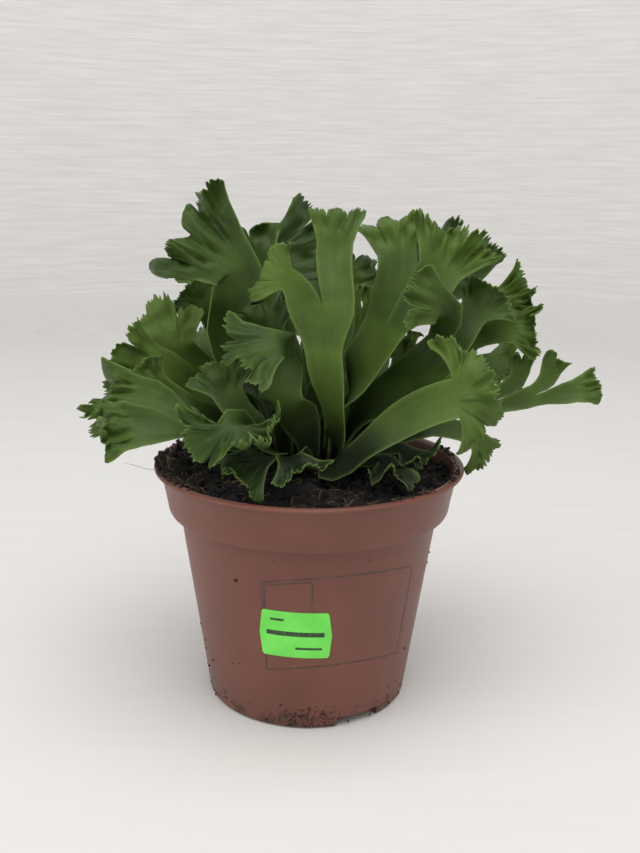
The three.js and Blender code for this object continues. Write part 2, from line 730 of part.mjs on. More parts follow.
// Price label: a thin patch that follows the pot's wall, with sides that bulge at mid-height.
function labelGeometry() {
  const sheet = new Sheet();
  let row = null;
  for (const v of evenly(6)) {
    const z = LABEL.middle + (v * LABEL.height) / 2;
    const slant = blend(BASE_RADIUS, WALL_TOP_RADIUS, z / LEDGE) / Math.cos(Math.PI / POT_SIDES);
    const radius = slant + GAP + LABEL.thickness / 2;
    const half = LABEL.width / 2 + LABEL.bulge * (1 - Math.abs(v)) - (Math.abs(v) === 1 ? 0.5 : 0);
    const added = sheet.addRow(evenly(10), (s) => ({
      point: polar(radius, LABEL.azimuth + THREE.MathUtils.radToDeg((half * s) / radius), z),
      half: LABEL.thickness / 2,
    }));
    if (row) sheet.join(row, added);
    row = added;
  }
  return sheet.geometry();
}

const material = (color, roughness) => new THREE.MeshStandardMaterial({ color, roughness, metalness: 0 });
const plastic = material(0x9c5a4c, 0.5);
const peat = material(0x2a211c, 0.95);
const bark = material(0x3d2f1f, 0.9);
const paper = material(0x4fe04a, 0.5);
const leaf = material(0x3f6b2c, 0.45);

const plant = new THREE.Group();
const add = (name, geometry, look) => {
  const mesh = new THREE.Mesh(geometry, look);
  mesh.name = name;
  plant.add(mesh);
};
add("pot", geometryFrom(buildPot()), plastic);
add("soil", geometryFrom(buildSoil()), peat);
add("rhizome", geometryFrom(buildRhizome()), bark);
add("price_label", geometryFrom(solidFrom(labelGeometry())), paper);
FRONDS.forEach((spec, k) => {
  const name = `frond_${String(k + 1).padStart(2, "0")}`;
  add(name, geometryFrom(solidFrom(frondGeometry(spec, k + 1))), leaf);
});

export default plant;
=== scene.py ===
import json
import math

import bpy
import numpy as np
from mathutils import Euler, Matrix, Vector

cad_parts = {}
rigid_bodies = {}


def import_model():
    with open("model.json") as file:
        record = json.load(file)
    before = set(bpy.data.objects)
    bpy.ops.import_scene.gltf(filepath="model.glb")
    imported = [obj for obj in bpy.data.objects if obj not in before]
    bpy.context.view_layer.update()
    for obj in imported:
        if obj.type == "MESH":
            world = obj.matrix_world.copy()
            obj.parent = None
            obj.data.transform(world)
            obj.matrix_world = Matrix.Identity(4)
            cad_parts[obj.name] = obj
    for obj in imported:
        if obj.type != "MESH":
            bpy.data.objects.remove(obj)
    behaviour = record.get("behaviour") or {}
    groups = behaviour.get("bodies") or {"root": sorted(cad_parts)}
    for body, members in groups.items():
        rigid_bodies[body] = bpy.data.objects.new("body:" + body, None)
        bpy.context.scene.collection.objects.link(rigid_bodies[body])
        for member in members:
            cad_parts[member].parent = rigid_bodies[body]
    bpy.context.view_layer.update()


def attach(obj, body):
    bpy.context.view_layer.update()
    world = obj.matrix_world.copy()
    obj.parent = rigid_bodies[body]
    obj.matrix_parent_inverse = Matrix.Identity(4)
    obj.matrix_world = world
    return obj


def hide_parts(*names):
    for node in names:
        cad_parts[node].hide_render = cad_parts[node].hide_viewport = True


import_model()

# Camera: it stands in front of the plant and a little above it, and looks slightly down.
# Its lens gives the photograph's field of view, and it is rolled by under a degree.
MM = 0.001
camera_place = Vector((0, -375.455, 204.062)) * MM
camera_pitch, camera_yaw, camera_roll = 14.43, 0.6, 0.86
picture_height, focal_pixels = 853, 1000
camera = bpy.data.objects.new("camera", bpy.data.cameras.new("camera"))
bpy.context.collection.objects.link(camera)
camera.data.lens = camera.data.sensor_width * focal_pixels / picture_height
camera.data.clip_start = 0.01
turn = Euler((math.radians(90 - camera_pitch), 0, -math.radians(camera_yaw))).to_matrix()
turn = turn @ Matrix.Rotation(math.radians(camera_roll), 3, "Z")
camera.matrix_world = Matrix.Translation(camera_place) @ turn.to_4x4()
bpy.context.scene.camera = camera
bpy.context.scene.view_settings.view_transform = "Standard"

# Floor and backdrop: one pale sheet that curves up all round, with the fine level slubs of a woven paper.
# The slubs fade towards the front, and the sheet's colour is painted a little darker low down and a little
# lighter up the wall, as painted shade and painted light. It belongs to the studio.


def new_material(name, colour, roughness):
    material = bpy.data.materials.new(name)
    material.use_nodes = True
    shader = material.node_tree.nodes["Principled BSDF"]
    shader.inputs["Base Color"].default_value = (*colour, 1)
    shader.inputs["Roughness"].default_value = roughness
    return material, material.node_tree, material.node_tree.links, shader


def pick(piece=None):
    """Selects a piece alone and makes it the active one, or selects nothing."""
    bpy.ops.object.select_all(action="DESELECT")
    if piece:
        piece.select_set(True)
        bpy.context.view_layer.objects.active = piece


def turn_on_wheel(name, rings, sides, close_top=True):
    """Turns a piece from (radius, height) rings in metres, from its bottom outwards and up."""
    pick()
    radius, height = rings[0]
    centre = (0, 0, height)
    bpy.ops.mesh.primitive_circle_add(vertices=sides, radius=radius, fill_type="TRIFAN", location=centre)
    piece = bpy.context.object
    piece.name = piece.data.name = name
    bpy.ops.object.mode_set(mode="EDIT")
    bpy.ops.mesh.select_mode(type="EDGE")
    bpy.ops.mesh.select_all(action="DESELECT")
    bpy.ops.mesh.select_non_manifold()
    for next_radius, next_height in rings[1:]:
        bpy.ops.mesh.extrude_edges_move(TRANSFORM_OT_translate={"value": (0, 0, next_height - height)})
        bpy.ops.transform.resize(value=(next_radius / radius, next_radius / radius, 1))
        radius, height = next_radius, next_height
    if close_top:
        bpy.ops.mesh.merge(type="CENTER")
    bpy.ops.mesh.select_all(action="SELECT")
    bpy.ops.mesh.normals_make_consistent(inside=False)
    bpy.ops.object.mode_set(mode="OBJECT")
    bpy.ops.object.transform_apply(location=True, rotation=True, scale=True)
    return piece


def place_in(tree):
    """Object coordinates, in metres."""
    return tree.nodes.new("ShaderNodeTexCoord").outputs["Object"]


def split_node(tree, vector):
    node = tree.nodes.new("ShaderNodeSeparateXYZ")
    tree.links.new(vector, node.inputs["Vector"])
    return node.outputs


def vector_node(tree, x, y):
    node = tree.nodes.new("ShaderNodeCombineXYZ")
    tree.links.new(x, node.inputs["X"])
    tree.links.new(y, node.inputs["Y"])
    return node.outputs["Vector"]


def noise_node(tree, vector, scale, detail=3, roughness=0.5, distortion=0.0):
    node = tree.nodes.new("ShaderNodeTexNoise")
    node.inputs["Scale"].default_value = scale
    node.inputs["Detail"].default_value = detail
    node.inputs["Roughness"].default_value = roughness
    node.inputs["Distortion"].default_value = distortion
    tree.links.new(vector, node.inputs["Vector"])
    return node.outputs["Fac"]


def math_node(tree, operation, *values, clamp=False):
    """A sum on numbers or on other nodes' outputs."""
    node = tree.nodes.new("ShaderNodeMath")
    node.operation, node.use_clamp = operation, clamp
    for socket, value in zip(node.inputs, values):
        if isinstance(value, (int, float)):
            socket.default_value = value
        else:
            tree.links.new(value, socket)
    return node.outputs["Value"]


def range_node(tree, value, low, high, to_low=0.0, to_high=1.0, steps="SMOOTHSTEP"):
    node = tree.nodes.new("ShaderNodeMapRange")
    node.interpolation_type = steps
    for label, number in (("From Min", low), ("From Max", high), ("To Min", to_low), ("To Max", to_high)):
        node.inputs[label].default_value = number
    tree.links.new(value, node.inputs["Value"])
    return node.outputs["Result"]


def bump_onto(material, height, distance, strength):
    tree = material.node_tree
    bump = tree.nodes.new("ShaderNodeBump")
    bump.inputs["Distance"].default_value = distance
    bump.inputs["Strength"].default_value = strength
    tree.links.new(height, bump.inputs["Height"])
    tree.links.new(bump.outputs["Normal"], tree.nodes["Principled BSDF"].inputs["Normal"])


SWEEP_CENTRE, SWEEP_FLOOR, SWEEP_CURVE, SWEEP_WALL = 0.3, 0.9, 0.5, 1.5
BEND_STEPS, SWEEP_SIDES, TURNOVER = 10, 96, 0.03
sweep_rings = [(SWEEP_CENTRE, 0)]
for k in range(BEND_STEPS + 1):
    bend = math.radians(90 * k / BEND_STEPS)
    sweep_rings.append((SWEEP_FLOOR + SWEEP_CURVE * math.sin(bend), SWEEP_CURVE * (1 - math.cos(bend))))
sweep_rings.append((SWEEP_FLOOR + SWEEP_CURVE, SWEEP_WALL))
sweep = turn_on_wheel("sweep", sweep_rings, SWEEP_SIDES, close_top=False)
bpy.ops.object.mode_set(mode="EDIT")
bpy.ops.mesh.flip_normals()
bpy.ops.object.mode_set(mode="OBJECT")
bpy.ops.object.shade_smooth()
paper, tree, links, shader = new_material("backdrop paper", (0.73, 0.715, 0.69), 0.85)
place = split_node(tree, place_in(tree))
on_floor = range_node(tree, place["Z"], 0, TURNOVER, 1, 0)
up_sheet = math_node(tree, "MULTIPLY_ADD", place["Y"], on_floor, place["Z"])
weave = vector_node(tree, place["X"], up_sheet)
threads = []
for across, along in ((9, 190), (23, 430)):
    stretch = tree.nodes.new("ShaderNodeMapping")
    stretch.inputs["Scale"].default_value = (across, along, 1)
    links.new(weave, stretch.inputs["Vector"])
    threads.append(noise_node(tree, stretch.outputs["Vector"], 1, 3, 0.5, 0.15))
PLAIN_SHEET, FINE_SHARE = 0.56, 0.4
coarse = math_node(tree, "MULTIPLY", threads[0], 1 - FINE_SHARE)
both = math_node(tree, "MULTIPLY_ADD", threads[1], FINE_SHARE, coarse)
slubs = math_node(tree, "SUBTRACT", both, PLAIN_SHEET)
far = range_node(tree, place["Y"], -0.15, 1.1, 0.12, 1)
faded = math_node(tree, "MULTIPLY_ADD", slubs, far, PLAIN_SHEET)
tone = tree.nodes.new("ShaderNodeValToRGB")
stops = ((0.3, (0.69, 0.68, 0.662, 1)), (0.7, (0.835, 0.825, 0.805, 1)))
for stop, (position, colour) in zip(tone.color_ramp.elements, stops):
    stop.position, stop.color = position, colour
links.new(faded, tone.inputs["Fac"])
# Painted shade and painted light: the paper's colour is scaled from 0.9 on the floor to 1.06 up the wall, to
# even out how the lamps light floor and wall.
shade = tree.nodes.new("ShaderNodeVectorMath")
shade.operation = "SCALE"
links.new(tone.outputs["Color"], shade.inputs[0])
links.new(range_node(tree, place["Z"], 0, 0.5, 0.9, 1.06, "LINEAR"), shade.inputs["Scale"])
links.new(shade.outputs["Vector"], shader.inputs["Base Color"])
bump_onto(paper, faded, 0.001, 0.4)
sweep.data.materials.append(paper)

# Light: a wide soft panel above and in front, a weaker one at the left, and pale light from all round.
# It is even, as from a cloudy sky, so the shadows under the fronds are soft.


def add_panel(name, place, width, power, colour):
    light = bpy.data.lights.new(name, "AREA")
    light.size, light.energy, light.color = width, power, colour
    lamp = bpy.data.objects.new(name, light)
    bpy.context.collection.objects.link(lamp)
    lamp.location = place
    lamp.rotation_euler = (Vector((0, 0, 0.1)) - Vector(place)).to_track_quat("-Z", "Y").to_euler()


add_panel("panel_above", (0.08, -0.35, 1.3), 1.4, 15.5, (1.0, 0.99, 0.98))
add_panel("panel_left", (-1.0, -0.5, 0.7), 0.8, 3.0, (1.0, 0.985, 0.965))
world = bpy.data.worlds.new("room")
world.use_nodes = True
world.node_tree.nodes["Background"].inputs["Color"].default_value = (0.95, 0.96, 1.0, 1)
world.node_tree.nodes["Background"].inputs["Strength"].default_value = 0.42
bpy.context.scene.world = world

# Pot: thin moulded plastic of a dull terracotta colour, with a stepped band, a small rounded lip and three
# drainage arches pressed up into its floor. It was moulded in one piece.
POT_SIDES, POT_FLOOR, LIP_TOP = 144, 1.3 * MM, 94
ARCH_INNER, ARCH_OUTER = 15 * MM, 51.5 * MM
ARCH_WIDTH, ARCH_RISE, ARCH_ROUNDING = 18 * MM, 4 * MM, 1.5 * MM
DRAIN_AZIMUTHS, DRAIN_OUT, DRAIN_RADIUS = (-60, 60, 180), 29 * MM, 4 * MM
pot_outside = [
    (20, 0), (37.6, 0), (38.5, 0.15), (39.2, 0.7), (39.55, 1.5), (44.9, 38), (50.3, 74.6), (50.5, 75.6),
    (51.2, 76), (53.2, 76), (54.2, 76.35), (54.7, 77.3), (55.5, 82), (57.3, 91.2), (57.7, 91.9),
    (58.5, 92.15), (59.3, 92.25), (59.85, 92.6), (60, 93.1), (59.85, 93.6), (59.3, 93.95), (58.6, LIP_TOP),
    (30, LIP_TOP),
]
pot_room = [
    (20, 1.3), (37.5, 1.3), (38.6, 2.3), (49.4, 76.6), (50, 77.1), (53.2, 77.1), (53.6, 77.5),
    (56.4, 93.2), (57.2, 93.8), (58.2, 94.02), (58.2, 96), (30, 96),
]


def around(radius, azimuth):
    """A place in plan at a radius and an azimuth in degrees."""
    return radius * math.cos(math.radians(azimuth)), radius * math.sin(math.radians(azimuth))


def in_metres(rings):
    return [(radius * MM, height * MM) for radius, height in rings]


def combine(piece, tool, operation):
    pick(piece)
    modifier = piece.modifiers.new("cut", "BOOLEAN")
    modifier.operation, modifier.solver, modifier.object = operation, "EXACT", tool
    bpy.ops.object.modifier_apply(modifier=modifier.name)


def drain_arch(azimuth, extra):
    """A straight tunnel from near the middle of the floor out past the wall, with rounded upper edges."""
    inner, width, rise = ARCH_INNER - extra, ARCH_WIDTH + 2 * extra, ARCH_RISE + extra
    pick()
    bpy.ops.mesh.primitive_cube_add(size=1, location=((inner + ARCH_OUTER) / 2, 0, rise / 2 - MM))
    arch = bpy.context.object
    arch.scale = (ARCH_OUTER - inner, width, rise + 2 * MM)
    bpy.ops.object.transform_apply(location=True, rotation=True, scale=True)
    bpy.ops.object.mode_set(mode="EDIT")
    bpy.ops.mesh.select_all(action="DESELECT")
    bpy.ops.object.mode_set(mode="OBJECT")
    for edge in arch.data.edges:
        a, b = (arch.data.vertices[k].co for k in edge.vertices)
        edge.select = min(a.z, b.z) > rise - MM / 10 and abs(a.y - b.y) < MM / 10
    bpy.ops.object.mode_set(mode="EDIT")
    bpy.ops.mesh.select_mode(type="EDGE")
    bpy.ops.mesh.bevel(offset=ARCH_ROUNDING, segments=4, affect="EDGES")
    bpy.ops.object.mode_set(mode="OBJECT")
    arch.rotation_euler.z = math.radians(azimuth)
    bpy.ops.object.transform_apply(location=True, rotation=True, scale=True)
    return arch


pot = turn_on_wheel("pot_shell", in_metres(pot_outside), POT_SIDES)
room = turn_on_wheel("room", in_metres(pot_room), POT_SIDES)
for azimuth in DRAIN_AZIMUTHS:
    narrow, wide = drain_arch(azimuth, 0), drain_arch(azimuth, POT_FLOOR)
    combine(room, wide, "DIFFERENCE")
    combine(pot, narrow, "DIFFERENCE")
    bpy.data.objects.remove(narrow)
    bpy.data.objects.remove(wide)
combine(pot, room, "DIFFERENCE")
bpy.data.objects.remove(room)
for azimuth in DRAIN_AZIMUTHS:
    pick()
    spot = (*around(DRAIN_OUT, azimuth), ARCH_RISE)
    bpy.ops.mesh.primitive_cylinder_add(vertices=32, radius=DRAIN_RADIUS, depth=2 * ARCH_RISE, location=spot)
    drill = bpy.context.object
    combine(pot, drill, "DIFFERENCE")
    bpy.data.objects.remove(drill)
pick(pot)
bpy.ops.object.shade_smooth_by_angle(angle=math.radians(32))

# The plastic is mottled, a little glossy, and stained with soil near the base, at the arches
# and under the lip.


def mix_node(tree, share, a, b):
    """Mixes two colours, each given as numbers or as another node's output."""
    node = tree.nodes.new("ShaderNodeMix")
    node.data_type = "RGBA"
    tree.links.new(share, node.inputs[0])
    for label, value in (("A", a), ("B", b)):
        socket = [s for s in node.inputs if s.name == label and s.enabled][-1]
        if isinstance(value, tuple):
            socket.default_value = (*value, 1)
        else:
            tree.links.new(value, socket)
    return [s for s in node.outputs if s.enabled][-1]


plastic, tree, links, shader = new_material("terracotta plastic", (0.23, 0.1, 0.075), 0.42)
place = place_in(tree)
up = split_node(tree, place)["Z"]
mottle = noise_node(tree, place, 35, 4)
body_colour = mix_node(tree, range_node(tree, mottle, 0.3, 0.7), (0.136, 0.044, 0.028), (0.167, 0.056, 0.036))
grime = noise_node(tree, place, 220, 6, 0.65)
low_down = range_node(tree, up, 1 * MM, 15 * MM, 0.18, 0.0)
under_lip = range_node(tree, up, 88 * MM, 93 * MM, 0.0, 0.09)
stain = math_node(tree, "ADD", math_node(tree, "ADD", grime, low_down), under_lip)
stain = range_node(tree, stain, 0.66, 0.76)
colour = mix_node(tree, math_node(tree, "MULTIPLY", stain, 0.7), body_colour, (0.055, 0.035, 0.025))
links.new(colour, shader.inputs["Base Color"])
rough = range_node(tree, mottle, 0.3, 0.7, 0.38, 0.48)
rough = math_node(tree, "ADD", rough, math_node(tree, "MULTIPLY", stain, 0.3))
links.new(rough, shader.inputs["Roughness"])
bump_onto(plastic, noise_node(tree, place, 900, 2), 0.00006, 0.5)
pot.data.materials.clear()
pot.data.materials.append(plastic)
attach(pot, "root")
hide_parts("pot")

# Printed frame: a thin dark rule round a plain field on the front of the wall, with a small empty box
# in its upper left corner. It is pad-printed on the plastic, so its ink is thin and a little uneven.
WALL_FOOT, WALL_FLARE = 39.33 * MM, 0.14706


def wall_point(azimuth, height, lift):
    return *around(WALL_FOOT + WALL_FLARE * height + lift, azimuth), height


def wall_patch(name, columns, rows, spot, lift, thickness):
    """A thin patch that follows the wall. spot gives an azimuth and a height for two shares from 0 to 1."""
    pick()
    bpy.ops.mesh.primitive_grid_add(x_subdivisions=columns, y_subdivisions=rows, size=1, location=(0, 0, 0))
    patch = bpy.context.object
    patch.name = patch.data.name = name
    for vertex in patch.data.vertices:
        azimuth, height = spot(vertex.co.x + 0.5, vertex.co.y + 0.5)
        vertex.co = wall_point(azimuth, height, lift)
    coat = patch.modifiers.new("coat", "SOLIDIFY")
    coat.thickness, coat.offset = thickness, 1
    bpy.ops.object.modifier_apply(modifier=coat.name)
    bpy.ops.object.shade_smooth_by_angle(angle=math.radians(35))
    return patch


def join_pieces(pieces, name):
    pick()
    for piece in pieces:
        piece.select_set(True)
    bpy.context.view_layer.objects.active = pieces[0]
    bpy.ops.object.join()
    pieces[0].name = pieces[0].data.name = name
    return pieces[0]


RULE_WIDTH, NARROW_RULE, RULE_LIFT, RULE_INK = 0.5 * MM, 0.3 * MM, 0.02 * MM, 0.04 * MM
FRAME_LEFT, FRAME_RIGHT, FRAME_TOP, FRAME_FOOT = -110, -37, 62 * MM, 25 * MM
BOX_LEFT, BOX_RIGHT, BOX_TOP, BOX_FOOT = -108.9, -88, 60.6 * MM, 48 * MM
RULE_BOW, BOX_BOW = 3.2 * MM, 2 * MM


def level_rule(height, left, right, bow):
    def spot(u, v):
        along = (left + (right - left) * u - FRAME_LEFT) / (FRAME_RIGHT - FRAME_LEFT)
        return left + (right - left) * u, height + bow * 4 * along * (1 - along) + RULE_WIDTH * (v - 0.5)
    return wall_patch("rule", 60, 1, spot, RULE_LIFT, RULE_INK)


def upright_rule(azimuth, foot, top, width=RULE_WIDTH):
    turn = math.degrees(width / (WALL_FOOT + WALL_FLARE * foot))

    def spot(u, v):
        return azimuth + turn * (u - 0.5), foot + (top - foot) * v
    return wall_patch("rule", 1, 20, spot, RULE_LIFT, RULE_INK)


rules = [
    level_rule(FRAME_TOP, FRAME_LEFT, FRAME_RIGHT, RULE_BOW),
    level_rule(FRAME_FOOT, FRAME_LEFT, FRAME_RIGHT, RULE_BOW),
    upright_rule(FRAME_LEFT, FRAME_FOOT, FRAME_TOP),
    upright_rule(FRAME_RIGHT, FRAME_FOOT, FRAME_TOP, NARROW_RULE),
    level_rule(BOX_TOP, BOX_LEFT, BOX_RIGHT, RULE_BOW),
    upright_rule(BOX_LEFT, BOX_FOOT, BOX_TOP),
    upright_rule(BOX_RIGHT, BOX_FOOT, BOX_TOP + BOX_BOW),
]
printed_frame = join_pieces(rules, "printed_frame")
ink, tree, links, shader = new_material("printed ink", (0.035, 0.02, 0.018), 0.5)
place = place_in(tree)
wear = range_node(tree, noise_node(tree, place, 260, 4, 0.7), 0.42, 0.62)
colour = mix_node(tree, wear, (0.045, 0.028, 0.026), (0.11, 0.055, 0.045))
links.new(colour, shader.inputs["Base Color"])
printed_frame.data.materials.clear()
printed_frame.data.materials.append(ink)
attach(printed_frame, "root")

# Price label: a small bright green paper label with bulging sides, stuck on the front. It carries three plain
# dark bars and nothing else, and its paper is faintly creased. The paper is given a faint green painted glow.
LABEL_MIDDLE, LABEL_HEIGHT, LABEL_HALF, LABEL_AZIMUTH = 41.3 * MM, 19 * MM, 12.25 * MM, -95.5
LABEL_TILT, LABEL_BULGE, LABEL_NOTCH = 0.5 * MM, 1.1 * MM, 0.5 * MM
LABEL_LIFT, LABEL_PAPER, BAR_LIFT, BAR_INK = 0.05 * MM, 0.12 * MM, 0.17 * MM, 0.02 * MM


def label_spot(u, v):
    """Shares across and up the label to a place on the wall. Its sides bulge and its corners are notched."""
    away = abs(2 * v - 1)
    half = LABEL_HALF + LABEL_BULGE * (1 - away) - LABEL_NOTCH * max(0, away - 0.9) / 0.1
    height = LABEL_MIDDLE + LABEL_HEIGHT * (v - 0.5) - LABEL_TILT * (u - 0.5)
    radius = WALL_FOOT + WALL_FLARE * height
    return LABEL_AZIMUTH + math.degrees(half * (2 * u - 1) / radius), height


def bar_spot(left, right, low, high):
    return lambda u, v: label_spot(left + (right - left) * u, low + (high - low) * v)


label = wall_patch("label_paper", 48, 36, label_spot, LABEL_LIFT, LABEL_PAPER)
glowing, tree, links, shader = new_material("fluorescent paper", (0.13, 0.68, 0.09), 0.45)
place = place_in(tree)
fibre = noise_node(tree, place, 500, 4)
crease = noise_node(tree, place, 90, 2)
colour = mix_node(tree, range_node(tree, crease, 0.3, 0.7), (0.13, 0.62, 0.075), (0.17, 0.72, 0.1))
links.new(colour, shader.inputs["Base Color"])
# Painted glow: a faint green emission makes the label paper glow on its own.
shader.inputs["Emission Color"].default_value = (0.1, 1.0, 0.06, 1)
shader.inputs["Emission Strength"].default_value = 0.06
bump_onto(glowing, math_node(tree, "ADD", crease, math_node(tree, "MULTIPLY", fibre, 0.2)), 0.0002, 0.5)
label.data.materials.clear()
label.data.materials.append(glowing)
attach(label, "root")
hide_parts("price_label")

bars = [
    wall_patch("bar", 16, 2, bar_spot(0.14, 0.34, 0.79, 0.84), BAR_LIFT, BAR_INK),
    wall_patch("bar", 40, 3, bar_spot(0.1, 0.9, 0.47, 0.57), BAR_LIFT, BAR_INK),
    wall_patch("bar", 24, 2, bar_spot(0.5, 0.88, 0.18, 0.23), BAR_LIFT, BAR_INK),
]
label_bars = join_pieces(bars, "label_bars")
black_ink, tree, links, shader = new_material("label ink", (0.02, 0.035, 0.02), 0.5)
place = place_in(tree)
patchy = range_node(tree, noise_node(tree, place, 700, 3, 0.6), 0.35, 0.7)
links.new(mix_node(tree, patchy, (0.015, 0.03, 0.015), (0.03, 0.12, 0.03)), shader.inputs["Base Color"])
label_bars.data.materials.clear()
label_bars.data.materials.append(black_ink)
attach(label_bars, "root")

# Soil: dark crumbly potting soil that fills the pot. Its top is lumpy, heaped against the rim at the left and
# a little hollow at the right, as it was left when the plant was potted.


def chance(a, b):
    """A number from 0 to 1 that depends only on its two seeds."""
    v = np.sin(a * 12.9898 + b * 78.233) * 43758.5453
    return v - np.floor(v)


def smooth(t):
    x = np.clip(t, 0, 1)
    return x * x * (3 - 2 * x)


def blend(a, b, t):
    return a + (b - a) * t


def drift_noise(x, seed):
    """Random numbers joined by smooth steps, from -1 to 1."""
    cell = np.floor(x)
    return 2 * blend(chance(cell, seed), chance(cell + 1, seed), smooth(x - cell)) - 1


def lattice_noise(x, y, seed):
    """The same in two directions."""
    i, j = np.floor(x), np.floor(y)
    u, v = smooth(x - i), smooth(y - j)
    low = blend(chance(i + 57 * j, seed), chance(i + 1 + 57 * j, seed), u)
    high = blend(chance(i + 57 * (j + 1), seed), chance(i + 1 + 57 * (j + 1), seed), u)
    return 2 * blend(low, high, v) - 1


SOIL_TOP, SOIL_EDGE, SOIL_RINGS, SOIL_SIDES, SOIL_GAP = 90, 55.5, 56, 160, 0.3 * MM


def soil_height(x, y):
    """The height of the soil in millimetres at a place in millimetres."""
    r = np.hypot(x, y)
    height = SOIL_TOP + 3.5 * np.exp(-((r / 30) ** 2)) - 0.045 * x + 0.012 * y
    height = height + 0.9 * np.sin(0.31 * x + 1.3) * np.cos(0.27 * y + 0.4)
    height = height + 0.6 * np.sin(0.63 * y - 0.41 * x)
    heap = 4.2 * np.exp(-(((x + 50) / 9) ** 2) - ((y + 6) / 15) ** 2)
    clods = 1.1 * lattice_noise(x / 5.1, y / 5.1, 3) + 0.8 * lattice_noise(x / 2.3 + 9, y / 2.3, 5)
    return height + heap + clods + 0.5 * lattice_noise(x / 1.1, y / 1.1 + 4, 8)


soil_rings = [(20, 1.6), (37, 1.6), (38.2, 2.6), (49, 77.4), (52.8, 77.4), (53.2, 78), (SOIL_EDGE, 88)]
soil_rings += [(SOIL_EDGE * (1 - k / SOIL_RINGS) ** 0.9, SOIL_TOP) for k in range(SOIL_RINGS)]
soil = turn_on_wheel("potting_soil", in_metres(soil_rings), SOIL_SIDES)
for vertex in soil.data.vertices:
    if vertex.co.z > (SOIL_TOP - 1) * MM:
        x, y = vertex.co.x / MM, vertex.co.y / MM
        vertex.co.z = float(soil_height(x, y)) * MM
for azimuth in DRAIN_AZIMUTHS:
    wide = drain_arch(azimuth, POT_FLOOR + SOIL_GAP)
    combine(soil, wide, "DIFFERENCE")
    bpy.data.objects.remove(wide)
pick(soil)
bpy.ops.object.shade_smooth()


def earth_material(name, dark, light, scale):
    material, tree, links, shader = new_material(name, dark, 0.9)
    place = place_in(tree)
    grains = noise_node(tree, place, scale, 6, 0.7)
    flecks = range_node(tree, noise_node(tree, place, scale * 2.3, 2), 0.68, 0.74)
    colour = mix_node(tree, range_node(tree, grains, 0.35, 0.75), dark, light)
    colour = mix_node(tree, math_node(tree, "MULTIPLY", flecks, 0.5), colour, (0.16, 0.1, 0.055))
    links.new(colour, shader.inputs["Base Color"])
    bump_onto(material, grains, 0.0009, 0.8)
    return material


earth = earth_material("potting soil", (0.0015, 0.0013, 0.0012), (0.01, 0.0075, 0.006), 420)
dry_earth = earth_material("dry soil", (0.018, 0.01, 0.007), (0.07, 0.042, 0.028), 420)
soil.data.materials.clear()
soil.data.materials.append(earth)
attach(soil, "root")
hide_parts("soil")

# Crumbs: loose dark peat crumbs on the soil, and dry brown ones on the lip and stuck to the pot's wall.
# Each lies on what carries it, and the larger ones sit half in it.


def new_piece(name, points, faces):
    """Makes points in millimetres and their faces a piece of the scene."""
    mesh = bpy.data.meshes.new(name)
    mesh.from_pydata((np.array(points) * MM).tolist(), [], faces)
    piece = bpy.data.objects.new(name, mesh)
    bpy.context.collection.objects.link(piece)
    return piece


def crumb_heap(name, spots, sizes, seed, material):
    """One piece of many small uneven lumps, at spots in millimetres."""
    pick()
    bpy.ops.mesh.primitive_ico_sphere_add(subdivisions=1, radius=1, location=(0, 0, 0))
    lump = bpy.context.object
    corners = np.array([v.co[:] for v in lump.data.vertices])
    faces = np.array([f.vertices[:] for f in lump.data.polygons])
    bpy.data.objects.remove(lump)
    rng = np.random.default_rng(seed)
    points, triangles = [], []
    for k, (spot, size) in enumerate(zip(spots, sizes)):
        uneven = corners * (1 + rng.uniform(-0.35, 0.3, (len(corners), 1)))
        squash = rng.uniform(0.55, 1.25, 3)
        tilt = np.array(Euler(rng.uniform(0, 6.28, 3)).to_matrix())
        points.append((uneven * squash) @ tilt.T * size + np.array(spot))
        triangles.append(faces + k * len(corners))
    heap = new_piece(name, np.concatenate(points), np.concatenate(triangles).tolist())
    heap.data.materials.append(material)
    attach(heap, "root")


def on_wall(azimuth, height, lift=0):
    """A place on the pot's wall, in millimetres."""
    return tuple(c / MM for c in wall_point(azimuth, height * MM, lift * MM))


LOOSE_CRUMBS, LIP_CRUMBS, FRONT_CRUMBS, FOOT_CRUMBS, CRUMB_EDGE = 2300, 420, 320, 150, 55
rng = np.random.default_rng(11)
spots, sizes = [], []
for _ in range(LOOSE_CRUMBS):
    radius = CRUMB_EDGE * math.sqrt(rng.uniform(0.08, 1))
    azimuth = rng.uniform(0, 2 * math.pi)
    size = 0.35 + 1.5 * rng.uniform() ** 3.5
    radius = min(radius, CRUMB_EDGE - size)
    x, y = radius * math.cos(azimuth), radius * math.sin(azimuth)
    spots.append((x, y, float(soil_height(x, y)) + 0.25 * size))
    sizes.append(size)
crumb_heap("soil_crumbs", spots, sizes, 12, earth)

spots, sizes = [], []
for _ in range(LIP_CRUMBS):
    azimuth = rng.normal(190, 15) if rng.uniform() < 0.8 else rng.uniform(-60, 20)
    size = 0.25 + rng.uniform() ** 3
    spots.append((*around(rng.uniform(56.2, 59.3), azimuth), LIP_TOP + 0.45 * size))
    sizes.append(size)
single_crumbs = [
    (-122.5, 60.5, 0.75), (-150, 18.5, 0.55), (-157, 25, 0.5), (-64, 70.3, 0.4), (-131, 23, 0.5),
    (-126, 24.5, 0.35), (-28, 24, 0.5), (-13, 56, 0.55), (-12, 60, 0.4), (-161, 20, 0.5), (-163, 30, 0.45),
    (-159, 13, 0.6), (-104, 71, 0.3),
]
for azimuth, height, size in single_crumbs:
    spots.append(on_wall(azimuth, height, 0.1))
    sizes.append(size)
for _ in range(FRONT_CRUMBS):
    azimuth, height = rng.normal(-90, 9), abs(rng.normal(4, 2.4)) + 0.6
    spots.append(on_wall(azimuth, height))
    sizes.append(0.14 + 0.4 * rng.uniform() ** 3)
